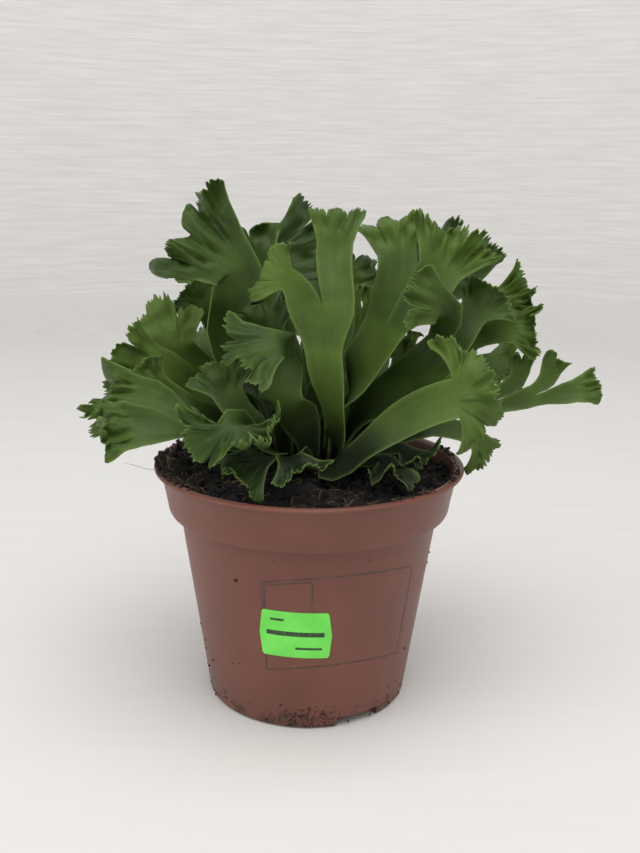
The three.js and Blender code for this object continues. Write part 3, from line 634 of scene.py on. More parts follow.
for _ in range(FOOT_CRUMBS):
    azimuth, height = rng.uniform(-175, -20), 1 + abs(rng.normal(0, 4.5))
    spots.append(on_wall(azimuth, height))
    sizes.append(0.15 + 0.35 * rng.uniform() ** 3)
crumb_heap("stuck_crumbs", spots, sizes, 13, dry_earth)

# Fibres: thin pale strands of peat and fine roots that lie on the soil and, at the left, on the rim.
# One fine root hangs out over the left rim.


def ring_faces(first, sides):
    """The faces between one ring of points and the next."""
    pairs = [(first + k, first + (k + 1) % sides) for k in range(sides)]
    return [(a, b, b + sides, a + sides) for a, b in pairs]


def strand_tubes(name, paths, radii, colours):
    """One piece of thin three-sided tubes along paths of points in millimetres."""
    points, faces = [], []
    for path, radius in zip(paths, radii):
        base = len(points)
        for k, at in enumerate(path):
            ahead = path[min(k + 1, len(path) - 1)] - path[max(k - 1, 0)]
            ahead = ahead / (np.linalg.norm(ahead) + 1e-9)
            side = np.cross(ahead, (0.3, 0.2, 1.0))
            side = side / (np.linalg.norm(side) + 1e-9)
            up = np.cross(side, ahead)
            thin = radius * (1 - 0.6 * abs(2 * k / (len(path) - 1) - 1) ** 3)
            for corner in range(3):
                a = 2 * math.pi * corner / 3
                points.append(at + thin * (math.cos(a) * side + math.sin(a) * up))
            if k:
                faces += ring_faces(base + 3 * (k - 1), 3)
        last = base + 3 * (len(path) - 1)
        faces += [(base + 2, base + 1, base), (last, last + 1, last + 2)]
    piece = new_piece(name, points, faces)
    material, tree, links, shader = new_material(name + " straw", colours[0], 0.8)
    place = place_in(tree)
    share = range_node(tree, noise_node(tree, place, 160, 2), 0.4, 0.6)
    links.new(mix_node(tree, share, *colours), shader.inputs["Base Color"])
    piece.data.materials.append(material)
    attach(piece, "root")


SOIL_STRANDS, RIM_STRANDS, STRAND_STEP, RIM_INSIDE = 260, 70, 1.1, 54
paths, radii = [], []
for _ in range(SOIL_STRANDS):
    radius = 52 * math.sqrt(rng.uniform(0.15, 1))
    heading = rng.uniform(0, 2 * math.pi)
    azimuth = rng.uniform(0, 2 * math.pi)
    at = np.array([radius * math.cos(azimuth), radius * math.sin(azimuth)])
    steps = rng.integers(4, 9)
    arch = rng.uniform(0.1, 0.9)
    path = []
    for k in range(steps):
        if np.hypot(*at) > RIM_INSIDE:
            break
        lift = 0.2 + arch * math.sin(math.pi * k / (steps - 1))
        path.append(np.array([*at, float(soil_height(*at)) + lift]))
        heading += rng.uniform(-0.7, 0.7)
        at = at + STRAND_STEP * np.array([math.cos(heading), math.sin(heading)])
    if len(path) > 3:
        paths.append(path)
        radii.append(rng.uniform(0.07, 0.16))
for _ in range(RIM_STRANDS):
    azimuth = rng.normal(196, 13)
    heading = rng.uniform(0, 2 * math.pi)
    at = np.array(around(rng.uniform(52, 59), azimuth))
    path = []
    for k in range(6):
        out = np.hypot(*at)
        if out > 59.5:
            break
        ground = float(soil_height(*at)) if out < 55 else LIP_TOP
        height = max(ground, LIP_TOP if out > RIM_INSIDE else 0) + 0.3 + 0.5 * math.sin(k)
        path.append(np.array([*at, height]))
        heading += rng.uniform(-0.6, 0.6)
        at = at + STRAND_STEP * np.array([math.cos(heading), math.sin(heading)])
    if len(path) > 3:
        paths.append(path)
        radii.append(rng.uniform(0.07, 0.14))
rim_root = [
    (-53, -16, 93.5), (-56.5, -17.2, 94.4), (-59.3, -17.6, 94.6), (-62, -17.2, 94.9), (-65.5, -16.5, 95.9),
    (-69, -16.4, 96.6),
]
paths.append([np.array(p, float) for p in rim_root])
radii.append(0.11)
strand_tubes("soil_fibres", paths, radii, ((0.1, 0.06, 0.03), (0.26, 0.17, 0.09)))

# Rhizome: the short upright stem that all the fronds rise from. It is dark brown, lumpy, and closely set
# with narrow papery scales, and it stands in the soil.
CROWN_RADIUS, CROWN_TOP, CROWN_DOME, CROWN_SIDES = 24, 95.5, 5, 96
SCALE_COUNT, GOLDEN_ANGLE = 620, 137.508


def dome_drop(radius):
    return CROWN_DOME * (radius / CROWN_RADIUS) ** 2


crown_rings = [(14, 70), (22, 76), (24, 84), (23.9, 88), (23.4, 90)]
crown_rings += [(r, CROWN_TOP - 0.6 - dome_drop(r)) for r in np.linspace(22.8, 0.8, 22)]
crown = turn_on_wheel("crown", in_metres(crown_rings), CROWN_SIDES)
for vertex in crown.data.vertices:
    x, y, z = vertex.co / MM
    lump = 0.5 * float(lattice_noise(x / 3.1, y / 3.1 + z / 4, 21)) - 0.3
    vertex.co = vertex.co + vertex.normal * lump * MM

points, faces = [], []
for k in range(SCALE_COUNT):
    radius = CROWN_RADIUS * 0.97 * math.sqrt((k + 0.5) / SCALE_COUNT)
    azimuth = math.radians(GOLDEN_ANGLE * k)
    out = np.array([math.cos(azimuth), math.sin(azimuth), 0])
    side = np.array([-out[1], out[0], 0])
    foot = out * radius + np.array([0, 0, CROWN_TOP - 1.2 - dome_drop(radius)])
    rise = np.array([0, 0, 1]) * (1.1 - 0.5 * radius / CROWN_RADIUS) + out * (0.4 + 0.5 * chance(k, 31))
    rise = rise / np.linalg.norm(rise) + 0.25 * side * (chance(k, 37) - 0.5)
    length, half = 2.6 + 2.6 * chance(k, 33), 0.38 + 0.3 * chance(k, 35)
    base = len(points)
    for part, width in ((0, 0.7), (0.35, 1), (0.7, 0.6), (1, 0.08)):
        curve = out * 0.5 * part * part * length * 0.5
        for s, depth in ((-1, 0), (0, 0.12), (1, 0), (0, -0.06)):
            at = foot + rise * length * part + curve + side * half * width * s
            points.append(at + out * depth * width)
    for level in range(3):
        faces += ring_faces(base + 4 * level, 4)
    faces += [(base + 3, base + 2, base + 1, base), (base + 12, base + 13, base + 14, base + 15)]
scales = new_piece("crown_scales", points, faces)
pick(scales)
bpy.ops.object.mode_set(mode="EDIT")
bpy.ops.mesh.select_all(action="SELECT")
bpy.ops.mesh.normals_make_consistent(inside=False)
bpy.ops.object.mode_set(mode="OBJECT")
bark, tree, links, shader = new_material("crown bark", (0.04, 0.025, 0.014), 0.75)
place = place_in(tree)
grain = noise_node(tree, place, 300, 5, 0.65)
colour = mix_node(tree, range_node(tree, grain, 0.3, 0.7), (0.022, 0.014, 0.009), (0.095, 0.055, 0.028))
links.new(colour, shader.inputs["Base Color"])
bump_onto(bark, grain, 0.0006, 0.7)
for piece in (crown, scales):
    piece.data.materials.clear()
    piece.data.materials.append(bark)
    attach(piece, "root")
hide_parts("rhizome")

# Fronds: 24 leathery straps that rise from the crown in three whorls, fork, and end in crests of toothed
# lobes that curl and crumple. Each is one thin sheet with a pale margin, thick in its middle and thin at its
# edge, and is grown from its root to its teeth, in millimetres. A whorl is a radius on the crown, a count,
# a first azimuth, a lean and half the width of a root.
WHORLS = [(6, 5, 54, 3, 2.6), (12.2, 8, -90, 9, 3.7), (18.4, 11, -98, 16, 4.2)]
ROOT_DEPTH, ROOT_ABOVE, ROOT_HALF, ROOT_EDGE, ROOT_TWIST = 11, 3, 1.2, 0.65, 10
BLADE_HALF, BLADE_EDGE, BLADE_CUP, BLADE_WAVE, WAVELENGTH = 0.3, 0.19, 0.22, 0.14, 34
STRAP_STEP, CREST_STEP, LOBE_STEPS, MARGIN_WIDTH = 4, 1.3, 24, 0.5
LOBE_ROUNDING, DEEP_NOTCHES, LOBE_STAND = 0.3, 0.26, 0.25
TEETH, TOOTH_HOLLOW = ((3, 0.15, 11), (8, 0.17, 23)), 1.15
TIP_CURL, RUFFLE, FINE_RUFFLE, CRUMPLE = math.radians(120), 3.0, 2.1, 2.0


def fork(at, half, *arms):
    """Where a strap ends and parts, half its width there, and the arms it carries."""
    return {"at": at, "half": half, "arms": arms}


def crest(at, tip, look, spread, lobes, curl):
    """A hub, the end of its middle ray, where its face looks, half its fan, its lobes and its curl."""
    return {"at": at, "tip": tip, "look": look, "spread": spread, "lobes": lobes, "curl": curl}


FRONDS = [
    # Whorl, slot, rise, freshness of its green, which is lowered as painted shade for fronds that lie in
    # shade, frill of its margins, and its forks and crests.
    # Inner whorl, anticlockwise from the back right.
    (0, 0, 26, 0.95, 1.0, fork([19, 20, 140], 7,
        crest([15, 22, 152], [11, 24, 163], [-90, 10], 34, 3, 40),
        crest([25, 23, 150], [29, 24, 161], [-90, 10], 34, 3, 40))),
    (0, 1, 30, 0.3, 1.0, fork([-16, 22, 148], 7,
        crest([-22, 30, 164], [-30, 40, 178], [-60, 30], 55, 4, 40))),
    (0, 2, 30, 0.2, 1.2, fork([-12, 6, 150], 5.5, crest([-12, 9, 170], [9, 12, 182], [-90, 15], 28, 4, 30))),
    (0, 3, 30, 0.4, 1.0, fork([11, -3, 148], 6, crest([11, -3, 164], [18, -3, 176], [-90, 10], 34, 4, 30))),
    (0, 4, 38, 0.12, 1.3, fork([32, 14, 155], 5,
        crest([59, 16, 165], [67, 17, 180], [-90, 0], 20, 3, 30),
        crest([43, 16, 171], [41, 22, 188], [-90, 10], 40, 4, 30))),
    # Middle whorl, anticlockwise from the front.
    (1, 0, 20, 0.22, 1.0, fork([-11, -23, 125], 8,
        crest([-12, -28, 144], [-28, -35, 141], [-95, 50], 46, 4, 30))),
    (1, 1, 22, 0.6, 1.3, fork([27, -14, 148], 10,
        crest([31, -5, 175], [27, 0, 192], [-90, 5], 24, 3, 20),
        crest([46, -12, 169], [55, -9, 187], [-90, 15], 36, 5, 20))),
    (1, 2, 20, 0.3, 1.0, fork([50, -11, 140], 9,
        crest([46, -20, 157], [33, -26, 163], [-90, 10], 32, 3, 20),
        crest([60, -8, 154], [69, -6, 165], [-90, 20], 50, 4, 30))),
    (1, 3, 20, 0.6, 1.6, fork([37, 15, 122], 7,
        crest([36, 14, 134], [32, 12, 144], [-90, 0], 50, 3, -40),
        fork([62, 14, 142], 7,
            crest([74, 12, 155], [88, 11, 160], [-90, 30], 32, 5, -20),
            crest([77, 2, 146], [90, -3, 146], [-90, 25], 36, 4, -20)))),
    (1, 4, 26, 0.3, 1.0, fork([8, 36, 144], 9,
        crest([-2, 44, 158], [-10, 53, 169], [-90, 30], 42, 4, 40),
        crest([18, 44, 157], [28, 53, 167], [-100, 30], 42, 4, 40))),
    (1, 5, 22, 0.3, 1.0, fork([-35, 23, 140], 8,
        crest([-42, 17, 152], [-50, 18, 160], [-90, 20], 50, 3, 30),
        crest([-38, 26, 156], [-42, 36, 166], [-60, 30], 55, 4, 30))),
    (1, 6, 24, 0.24, 1.6, fork([-32, -3, 148], 11,
        crest([-28, -11, 170], [-57, -9, 192], [-90, 10], 29, 6, 20),
        crest([-21, -4, 172], [-25, 0, 190], [-90, 0], 26, 2, 30))),
    (1, 7, 24, 0.15, 0.8, fork([-17, -9, 134], 6,
        crest([-15, -13, 147], [-19, -14, 160], [-90, 0], 60, 4, 40))),
    # Outer whorl, anticlockwise from the front.
    (2, 0, 8, 0.0, 0.8, fork([-11, -32, 104], 7,
        crest([-18, -39, 105], [-29, -48, 101], [-95, 60], 42, 4, 20),
        crest([-6, -41, 105], [0, -52, 101], [-90, 60], 42, 3, 20))),
    (2, 1, 5, 0.6, 1.1, fork([12, -24, 104], 11,
        fork([5, -27, 141], 6.5,
            fork([4, -25, 158], 12,
                crest([-9, -25, 167], [-18, -28, 172], [-90, 10], 60, 3, 40),
                crest([8, -16, 179], [9, -14, 195], [-90, -5], 20, 3, 15))),
        crest([51, -34, 127], [68, -37, 132], [-85, 20], 112, 7, 15))),
    (2, 2, 6, 0.0, 0.9, fork([24, -16, 100], 8,
        crest([29, -27, 100], [31, -38, 97], [-70, 60], 40, 3, 20),
        crest([36, -17, 102], [44, -25, 98], [-50, 50], 50, 3, -20))),
    (2, 3, 9, 0.55, 1.0, fork([45, -3, 112], 8,
        fork([70, 0, 118], 4.8,
            crest([81, 5, 129], [82, 7, 138], [-90, 0], 12, 2, -10),
            fork([86, -1, 121], 4.2,
                crest([92, 2, 129], [95, 3, 138], [-90, 0], 12, 2, -10),
                crest([101, -2, 123], [112, -2, 126], [-90, 30], 20, 3, 15))),
        crest([64, -5, 104], [71, -6, 97], [-70, 30], 40, 3, 30))),
    (2, 4, 12, 0.85, 1.0, fork([56, 16, 122], 8,
        crest([73, 16, 130], [88, 18, 131], [-60, 60], 50, 4, 30),
        crest([68, 28, 126], [80, 38, 128], [-100, 60], 50, 4, 30))),
    (2, 5, 14, 0.4, 1.0, fork([33, 42, 122], 9,
        crest([46, 56, 127], [59, 69, 131], [-115, 60], 42, 4, 30),
        crest([27, 60, 136], [27, 78, 142], [-90, 60], 42, 4, 30))),
    (2, 6, 12, 0.35, 1.0, fork([-6, 44, 118], 9,
        crest([-14, 60, 126], [-20, 78, 124], [-80, 60], 55, 4, 40),
        crest([4, 62, 130], [9, 80, 134], [-95, 60], 55, 4, 40))),
    (2, 7, 14, 0.35, 1.0, fork([-32, 36, 120], 9,
        crest([-46, 44, 132], [-60, 52, 140], [-50, 50], 55, 4, 30),
        crest([-32, 56, 128], [-38, 72, 126], [-70, 60], 55, 4, 40))),
    (2, 8, 12, 0.75, 1.3, fork([-41, 7, 122], 10,
        crest([-52, 3, 138], [-57, 3, 156], [-90, 10], 38, 3, 20),
        crest([-59, -3, 131], [-77, -6, 137], [-90, 20], 34, 3, 20))),
    (2, 9, 10, 0.4, 1.9, fork([-42, -20, 114], 9,
        crest([-62, -19, 122], [-82, -20, 124], [-90, 30], 24, 5, 25),
        crest([-57, -14, 127], [-64, -13, 136], [-90, 10], 30, 3, 30),
        crest([-60, -31, 114], [-79, -34, 114], [-100, 40], 22, 4, 20))),
    (2, 10, 9, 0.22, 1.1, fork([-18, -25, 110], 7.5,
        crest([-26, -42, 118], [-28, -54, 108], [-95, 40], 138, 8, 15),
        crest([-30, -21, 125], [-35, -18, 138], [-90, 10], 50, 4, 20))),
]


def unit(v):
    return v / np.linalg.norm(v)


def facing(azimuth, elevation):
    a, e = math.radians(azimuth), math.radians(elevation)
    return np.array([math.cos(e) * math.cos(a), math.cos(e) * math.sin(a), math.sin(e)])


def evenly(count):
    return np.linspace(-1, 1, count + 1)


def frame_on(curve, t, face_from, face_to):
    """The blade's centre at a share of its curve, the way along it, its upper face and the way across."""
    a, b, c, d = curve
    u = 1 - t
    centre = u ** 3 * a + 3 * u * u * t * b + 3 * u * t * t * c + t ** 3 * d
    along = unit(3 * u * u * (b - a) + 6 * u * t * (c - b) + 3 * t * t * (d - c))
    face = blend(face_from, face_to, smooth(t))
    face = unit(face - along * np.dot(face, along))
    return {"centre": centre, "along": along, "face": face, "across": np.cross(along, face)}


def target_face(node):
    if "arms" in node:
        return unit(sum(target_face(arm) for arm in node["arms"]))
    return facing(*node["look"])


def hub_half(node):
    reach = np.linalg.norm(np.subtract(node["tip"], node["at"]))
    return min(max(reach * 0.4, 3), 9.5)


def plan_arm(node, start, seed):
    """Settles an arm's curve, and those of what it carries, before its rows are laid."""
    end = np.array(node["at"], float)
    straight = end - start["centre"]
    reach = np.linalg.norm(straight)
    if "arms" in node:
        end_along = unit(np.mean([arm["at"] for arm in node["arms"]], axis=0) - start["centre"])
    else:
        end_along = unit(np.array(node["tip"], float) - end)
    start_along = unit(blend(start["along"], unit(straight), start["turn_in"]))
    rise = start.get("rise", reach / 3)
    arm = {"node": node, "start": start, "seed": seed, "reach": reach,
           "curve": (start["centre"], start["centre"] + rise * start_along, end - reach / 3 * end_along, end),
           "end_half": node["half"] if "arms" in node else hub_half(node)}
    face_to = target_face(node)
    arm["face_to"] = unit(blend(face_to, start["face"], 0.4)) if "arms" in node else face_to
    hub = frame_on(arm["curve"], 1, start["face"], arm["face_to"])
    arm["hub"], arm["children"] = hub, []
    if "arms" not in node:
        arm["columns"] = evenly(node["lobes"] * LOBE_STEPS)
        return arm
    order = sorted(node["arms"], key=lambda each: np.dot(np.array(each["at"]) - hub["centre"], hub["across"]))
    count, columns = len(order), []
    for k, each in enumerate(order):
        middle = (2 * k + 1) / count - 1
        centre = hub["centre"] + hub["across"] * arm["end_half"] * middle
        centre = centre + hub["face"] * arm["end_half"] * BLADE_CUP * middle * middle
        child = plan_arm(each, {**hub, "centre": centre, "half": arm["end_half"] / count, "turn_in": 0.5},
                         seed * 3 + k + 1)
        arm["children"].append(child)
        part = middle + child["columns"] / count
        columns.append(part if k == 0 else part[1:])
    arm["columns"] = np.concatenate(columns)
    return arm


class Frond:
    """The rows of one frond's sheet, with what each of its points carries."""

    def __init__(self):
        self.points, self.halves, self.margins, self.greens, self.veins, self.faces = [], [], [], [], [], []
        self.count = 0

    def add_row(self, points, halves, margins, green, lengths, columns):
        n = len(points)
        self.points.append(points)
        self.halves.append(np.broadcast_to(halves, n))
        self.margins.append(np.broadcast_to(margins, n))
        self.greens.append(np.broadcast_to(green, n))
        self.veins.append(np.stack([np.broadcast_to(columns, n), np.broadcast_to(lengths, n)], axis=1))
        ids = np.arange(self.count, self.count + n)
        self.count += n
        return ids

    def join(self, lower, upper):
        self.faces.append(np.stack([lower[:-1], lower[1:], upper[1:], upper[:-1]], axis=1))


def blade_row(arm, place, t):
    """The points across an arm at a share of its length: cupped, with softly waved margins."""
    start, s = arm["start"], arm["columns"]
    half = blend(start["half"], arm["end_half"], smooth(1.85 * t) if start.get("root") else smooth(t))
    phase = np.where(s < 0, chance(arm["seed"], 3), chance(arm["seed"], 5))
    wave = np.sin((t * arm["reach"] / WAVELENGTH + phase) * 2 * np.pi)
    lift = half * s * s * (BLADE_CUP + BLADE_WAVE * wave * np.abs(s) * smooth(4 * t))
    return place["centre"] + np.outer(half * s, place["across"]) + np.outer(lift, place["face"]), half


def lay_arm(frond, row, points, arm, length, lane, green, frill):
    """Lays an arm's rows from its start row, and then what it carries. lane numbers its first column."""
    start, s = arm["start"], arm["columns"]
    lanes = lane + np.arange(len(s)) / LOBE_STEPS
    first = frame_on(arm["curve"], 0, start["face"], arm["face_to"])
    gaps = points - blade_row(arm, first, 0)[0]
    rows = max(4, round(arm["reach"] / STRAP_STEP))
    for k in range(1, rows + 1):
        t = k / rows
        place = frame_on(arm["curve"], t, start["face"], arm["face_to"])
        points, half = blade_row(arm, place, t)
        points = points + gaps * (1 - smooth(2 * t))
        thick = blend(ROOT_HALF, BLADE_HALF, smooth(1.6 * t)) if start.get("root") else BLADE_HALF
        thin = blend(ROOT_EDGE, BLADE_EDGE, smooth(1.6 * t)) if start.get("root") else BLADE_EDGE
        margins = np.exp(-half * (1 - np.abs(s)) / MARGIN_WIDTH)
        halves, greens = blend(thick, thin, s ** 4), green * blend(0.55, 1.0, t)
        added = frond.add_row(points, halves, margins, greens, length + arm["reach"] * t, lanes)
        frond.join(row, added)
        row = added
    length += arm["reach"]
    if not arm["children"]:
        lay_crest(frond, row, points, arm, length, lanes, green, frill)
        return
    at = 0
    for child in arm["children"]:
        n = len(child["columns"])
        lay_arm(frond, row[at:at + n], points[at:at + n], child, length, lanes[at], green, frill)
        at += n - 1


def notch_depth(ends, lobes, seed):
    """Where each notch between two lobes ends. About a quarter of them part the crest nearly to its hub."""
    draw = chance(ends + 0.5, seed + 7)
    deep = (draw < DEEP_NOTCHES) & (ends > 0) & (ends < lobes)
    return np.where(deep, blend(0.4, 0.56, draw / DEEP_NOTCHES), blend(0.66, 0.88, draw))


def crest_outline(lobe_at, lobes, seed):
    """How far out the margin is, as shares of the radius: lobes of uneven lengths between uneven notches."""
    lobe = np.minimum(np.floor(lobe_at), lobes - 1)
    part = lobe_at - lobe
    size = blend(0.72, 1.06, chance(lobe, seed))
    notch = blend(notch_depth(lobe, lobes, seed), notch_depth(lobe + 1, lobes, seed), part)
    return blend(notch, size, np.maximum(np.sin(part * np.pi), 0) ** LOBE_ROUNDING)


def lobe_stand(lobe_at, lobes, seed):
    """How far each lobe stands out of the crest's plane, from -1 to 1, with a quick change at each notch."""
    cell = np.floor(lobe_at - 0.5)
    near, far = np.clip(cell, 0, lobes - 1), np.clip(cell + 1, 0, lobes - 1)
    share = smooth((lobe_at - 0.5 - cell - 0.35) / 0.3)
    return 2 * blend(chance(near, seed + 51), chance(far, seed + 51), share) - 1


def crest_teeth(lobe_at, seed):
    """How much the teeth take from the margin: three sharp points to a lobe, with smaller ones between."""
    taken = 0
    for per_lobe, depth, offset in TEETH:
        at = per_lobe * lobe_at + 0.25 * drift_noise(per_lobe * lobe_at, seed + offset)
        step = np.floor(at)
        point = blend(0.3, 0.7, chance(step, seed + offset + 1))
        part = at - step
        slope = np.where(part < point, 1 - part / point, (part - point) / (1 - point))
        taken = taken + depth * blend(0.35, 1.2, chance(step, seed + offset + 2)) * slope ** TOOTH_HOLLOW
    return taken


def lay_crest(frond, row, hub_points, arm, length, lanes, green, frill):
    """Lays a crest: rays that fan from its hub, bend and crumple as they go, and end in toothed lobes."""
    node, hub, s, seed, half = arm["node"], arm["hub"], arm["columns"], arm["seed"], arm["end_half"]
    lobes = node["lobes"]
    radius = np.linalg.norm(np.array(node["tip"]) - hub["centre"])
    lobe_at = (s + 1) / 2 * lobes
    outline = crest_outline(lobe_at, lobes, seed)
    toothed = outline * (1.1 - crest_teeth(lobe_at, seed))
    curl = math.radians(node["curl"]) * (1 + 0.7 * drift_noise(lobe_at * 0.8 + 9, seed))
    tip_curl = TIP_CURL * frill * drift_noise(lobe_at * 0.6 + 20, seed + 4)
    ends = np.arange(lobes + 1)
    uneven = ends + 0.55 * (chance(ends, seed + 21) - 0.5) * (ends > 0) * (ends < lobes)
    ray = 2 * np.interp(lobe_at, ends, uneven) / lobes - 1
    lobe = np.minimum(np.floor(lobe_at), lobes - 1)
    pleat = blend(-0.12, 0.22, chance(lobe, seed + 31)) * (np.abs(np.sin(np.pi * lobe_at)) - 0.3)
    tilt = LOBE_STAND * lobe_stand(lobe_at, lobes, seed) + 0.14 * drift_noise(lobe_at * 0.9 + 5, seed)
    tilt = tilt + 0.12 * s * s
    fine_ruffle = FINE_RUFFLE * drift_noise(4.3 * lobe_at, seed + 8)
    ruffle = frill * (RUFFLE * drift_noise(1.7 * lobe_at, seed + 6) + fine_ruffle)
    ripple = 0.02 * drift_noise(3.7 * lobe_at, seed + 10)
    flat = np.outer(np.ones_like(s), hub["centre"]) + np.outer(half * s, hub["across"])
    gaps = hub_points - flat - np.outer(half * BLADE_CUP * s * s, hub["face"])
    rows = max(9, round(radius / CREST_STEP))
    along_way, below, last_out = np.zeros_like(s), np.zeros_like(s), np.zeros_like(s)
    for k in range(1, rows + 1):
        v = 1 - (1 - k / rows) ** 1.2
        out = radius * v * blend(outline, toothed, v ** 4)
        middle = (out + last_out) / 2
        heading = curl * middle / radius + tip_curl * (middle / (radius * outline)) ** 4
        along_way = along_way + (out - last_out) * np.cos(heading)
        below = below + (out - last_out) * np.sin(heading)
        last_out = out
        angle = math.radians(node["spread"]) * ray * (0.75 + 0.25 * v)
        crumple = frill * CRUMPLE * lattice_noise(2.3 * lobe_at, out / 5, seed + 12) * smooth(1.4 * v)
        lift = half * BLADE_CUP * s * s * (1 - v) + out * (pleat + tilt + ripple) * v
        lift = lift + ruffle * v ** 3 - below + crumple
        points = flat + np.outer(along_way * np.cos(angle), hub["along"])
        points = points + np.outer(along_way * np.sin(angle), hub["across"]) + np.outer(lift, hub["face"])
        points = points + gaps * (1 - smooth(3 * v))
        side = (1 - np.abs(s)) * (half + out * math.radians(node["spread"]))
        margins = np.exp(-np.minimum(side, radius * toothed - out) / MARGIN_WIDTH)
        halves, greens = blend(BLADE_HALF, BLADE_EDGE, v ** 2), green * blend(1.0, 0.88, v)
        added = frond.add_row(points, halves, margins, greens, length + out, lanes)
        frond.join(row, added)
        row = added


def grow_frond(number, whorl, slot, rise, green, frill, first):
    radius, count, first_azimuth, lean, root_half = WHORLS[whorl]
    azimuth = math.radians(first_azimuth + slot * 360 / count)
    out = np.array([math.cos(azimuth), math.sin(azimuth), 0])
    along = out * math.sin(math.radians(lean)) + np.array([0, 0, math.cos(math.radians(lean))])
    face = unit(-out + along * np.dot(out, along))
    twist = math.radians(ROOT_TWIST)
    face = face * math.cos(twist) + np.cross(along, face) * math.sin(twist)
    across = np.cross(along, face)
    rim = out * radius + np.array([0, 0, CROWN_TOP - dome_drop(radius)])
    start = {"centre": rim + along * ROOT_ABOVE, "along": along, "face": face, "across": across,
             "half": root_half, "turn_in": 0, "rise": rise, "root": True}
    arm = plan_arm(first, start, number)
    s = arm["columns"]
    lanes = np.arange(len(s)) / LOBE_STEPS
    frond, row = Frond(), None
    for distance in np.linspace(-ROOT_DEPTH, ROOT_ABOVE, 5):
        points = rim + along * distance + np.outer(root_half * s, across)
        added = frond.add_row(points, blend(ROOT_HALF, ROOT_EDGE, s * s), 0, green * 0.3, distance, lanes)
        if row is not None:
            frond.join(row, added)
        row = added
    lay_arm(frond, row, points, arm, ROOT_ABOVE, 0, green, frill)
    return frond


def frond_piece(name, frond):
    """Makes a frond's sheet a mesh, with its margins, its green shares, which carry painted shade too, and
    its vein lanes, and gives it thickness.
    """
    points, faces = np.concatenate(frond.points), np.concatenate(frond.faces)
    halves = np.concatenate(frond.halves)
    piece = new_piece(name, points, faces.tolist())
    mesh = piece.data
    for label, rows in (("margin", frond.margins), ("green", frond.greens)):
        values = np.concatenate(rows).astype(np.float32)
        mesh.attributes.new(label, "FLOAT", "POINT").data.foreach_set("value", values)
    lanes = np.concatenate(frond.veins)
    corners = np.empty(len(mesh.loops), dtype=np.int32)
    mesh.loops.foreach_get("vertex_index", corners)
    mesh.uv_layers.new(name="lanes").data.foreach_set("uv", lanes[corners].astype(np.float32).ravel())
    pick(piece)
    group = piece.vertex_groups.new(name="thickness")
    thickest = float(halves.max())
    for index, half in enumerate(halves):
        group.add([index], float(half) / thickest, "REPLACE")
    mesh.materials.append(leaf_top)
    mesh.materials.append(leaf_under)
    skin = piece.modifiers.new("skin", "SOLIDIFY")
    skin.thickness, skin.offset, skin.vertex_group = 2 * thickest * MM, 0, "thickness"
    skin.material_offset = 1
    bpy.ops.object.modifier_apply(modifier=skin.name)
    piece.vertex_groups.clear()
    bpy.ops.object.shade_smooth()
    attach(piece, "root")
    return piece


# The green of a frond runs from nearly black at its foot and low among the roots, through deep green, to
# fresh at its teeth. The near-black at the foot is partly the stipe's own dark colour and partly painted
# shade, the darkening low among the roots near the crown's middle is painted shade, and each frond's green
# share is lowered where the frond lies in shade, so it carries painted shade as well. Fine veins run along
# its lanes, and its margin is a thin pale line. The underside is paler.


def new_group(name, inputs, outputs):
    group = bpy.data.node_groups.new(name, "ShaderNodeTree")
    for label, kind, value in inputs:
        socket = group.interface.new_socket(label, in_out="INPUT", socket_type=kind)
        if value is not None:
            socket.default_value = value
    for label, kind in outputs:
        group.interface.new_socket(label, in_out="OUTPUT", socket_type=kind)
    return group, group.nodes.new("NodeGroupInput"), group.nodes.new("NodeGroupOutput")


flesh, flesh_in, flesh_out = new_group(
    "leaf flesh",
    [("Deep", "NodeSocketColor", (0.02, 0.05, 0.01, 1)), ("Fresh", "NodeSocketColor", (0.2, 0.33, 0.05, 1)),
     ("Margin", "NodeSocketColor", (0.2, 0.3, 0.1, 1)), ("Dark foot and painted shade", "NodeSocketColor", (0.01, 0.015, 0.005, 1))],
    [("Color", "NodeSocketColor"), ("Roughness", "NodeSocketFloat"), ("Relief", "NodeSocketFloat")])
place = place_in(flesh)
lanes = flesh.nodes.new("ShaderNodeUVMap")
lanes.uv_map = "lanes"
lane = split_node(flesh, lanes.outputs["UV"])


def carried(label):
    node = flesh.nodes.new("ShaderNodeAttribute")
    node.attribute_name = label
    return node.outputs["Fac"]


def lane_noise(across, along, detail):
    x, y = math_node(flesh, "MULTIPLY", lane["X"], across), math_node(flesh, "MULTIPLY", lane["Y"], along)
    return noise_node(flesh, vector_node(flesh, x, y), 1, detail)


veins = lane_noise(7, 0.03, 2)
fine_veins = lane_noise(16, 0.08, 2)
clouding = noise_node(flesh, place, 55, 3)
share = math_node(flesh, "ADD", carried("green"), range_node(flesh, clouding, 0.3, 0.7, -0.17, 0.17))
share = math_node(flesh, "ADD", share, range_node(flesh, veins, 0.3, 0.7, -0.06, 0.06))
share = math_node(flesh, "ADD", share, range_node(flesh, fine_veins, 0.3, 0.7, -0.03, 0.03), clamp=True)
colour = mix_node(flesh, share, flesh_in.outputs["Deep"], flesh_in.outputs["Fresh"])
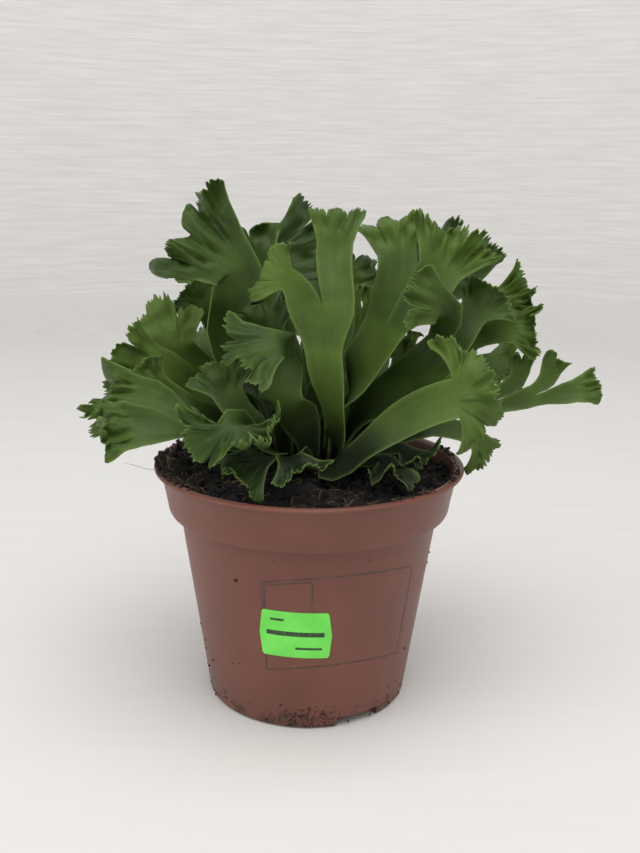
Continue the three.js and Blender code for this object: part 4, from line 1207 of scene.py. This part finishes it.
# Painted shade: each frond is mixed towards the near-black foot colour over its first 38 mm along its lanes,
# partly for the stipe's own dark base and partly for shade at the foot, and wherever it lies low down near
# the crown's middle, where shade falls among the roots.
PAINTED_SHADE_RADII, PAINTED_SHADE_HEIGHTS = (0.038, 0.060), (0.103, 0.126)
foot = range_node(flesh, lane["Y"], 4, 38, 1, 0)
spot = split_node(flesh, place)
apart = flesh.nodes.new("ShaderNodeVectorMath")
apart.operation = "LENGTH"
flesh.links.new(vector_node(flesh, spot["X"], spot["Y"]), apart.inputs[0])
near = range_node(flesh, apart.outputs["Value"], *PAINTED_SHADE_RADII, 1, 0)
low = math_node(flesh, "MULTIPLY", range_node(flesh, spot["Z"], *PAINTED_SHADE_HEIGHTS, 1, 0), near)
foot = math_node(flesh, "MAXIMUM", foot, low)
colour = mix_node(flesh, math_node(flesh, "MULTIPLY", foot, 0.96), colour, flesh_in.outputs["Dark foot and painted shade"])
edge = math_node(flesh, "MULTIPLY", carried("margin"), 0.55)
colour = mix_node(flesh, edge, colour, flesh_in.outputs["Margin"])
flesh.links.new(colour, flesh_out.inputs["Color"])
flesh.links.new(range_node(flesh, clouding, 0.3, 0.7, 0.42, 0.56), flesh_out.inputs["Roughness"])
relief = math_node(flesh, "ADD", veins, math_node(flesh, "MULTIPLY", fine_veins, 0.5))
relief = math_node(flesh, "ADD", relief, math_node(flesh, "MULTIPLY", clouding, 0.8))
flesh.links.new(relief, flesh_out.inputs["Relief"])


def leaf_material(name, deep, fresh, margin, foot):
    material, tree, links, shader = new_material(name, deep, 0.42)
    group = tree.nodes.new("ShaderNodeGroup")
    group.node_tree = flesh
    for label, colour in (("Deep", deep), ("Fresh", fresh), ("Margin", margin), ("Dark foot and painted shade", foot)):
        group.inputs[label].default_value = (*colour, 1)
    links.new(group.outputs["Color"], shader.inputs["Base Color"])
    links.new(group.outputs["Roughness"], shader.inputs["Roughness"])
    bump_onto(material, group.outputs["Relief"], 0.0004, 0.25)
    shader.inputs["Specular IOR Level"].default_value = 0.2
    shader.inputs["Subsurface Weight"].default_value = 0.12
    shader.inputs["Subsurface Radius"].default_value = (0.4, 1.0, 0.2)
    shader.inputs["Subsurface Scale"].default_value = 0.001
    return material


# The last colour of each material is the near-black foot colour, partly the stipe's own dark colour and
# partly painted shade.
leaf_top = leaf_material("leaf upper face", (0.018, 0.041, 0.007), (0.1, 0.17, 0.025), (0.15, 0.235, 0.06),
                         (0.004, 0.007, 0.002))
leaf_under = leaf_material("leaf underside", (0.03, 0.06, 0.012), (0.13, 0.2, 0.035), (0.16, 0.24, 0.07),
                           (0.006, 0.008, 0.003))
for k, (whorl, slot, rise, green, frill, first) in enumerate(FRONDS):
    name = f"frond_{k + 1:02d}"
    piece = frond_piece("fern_" + name, grow_frond(k + 1, whorl, slot, rise, green, frill, first))
    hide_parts(name)
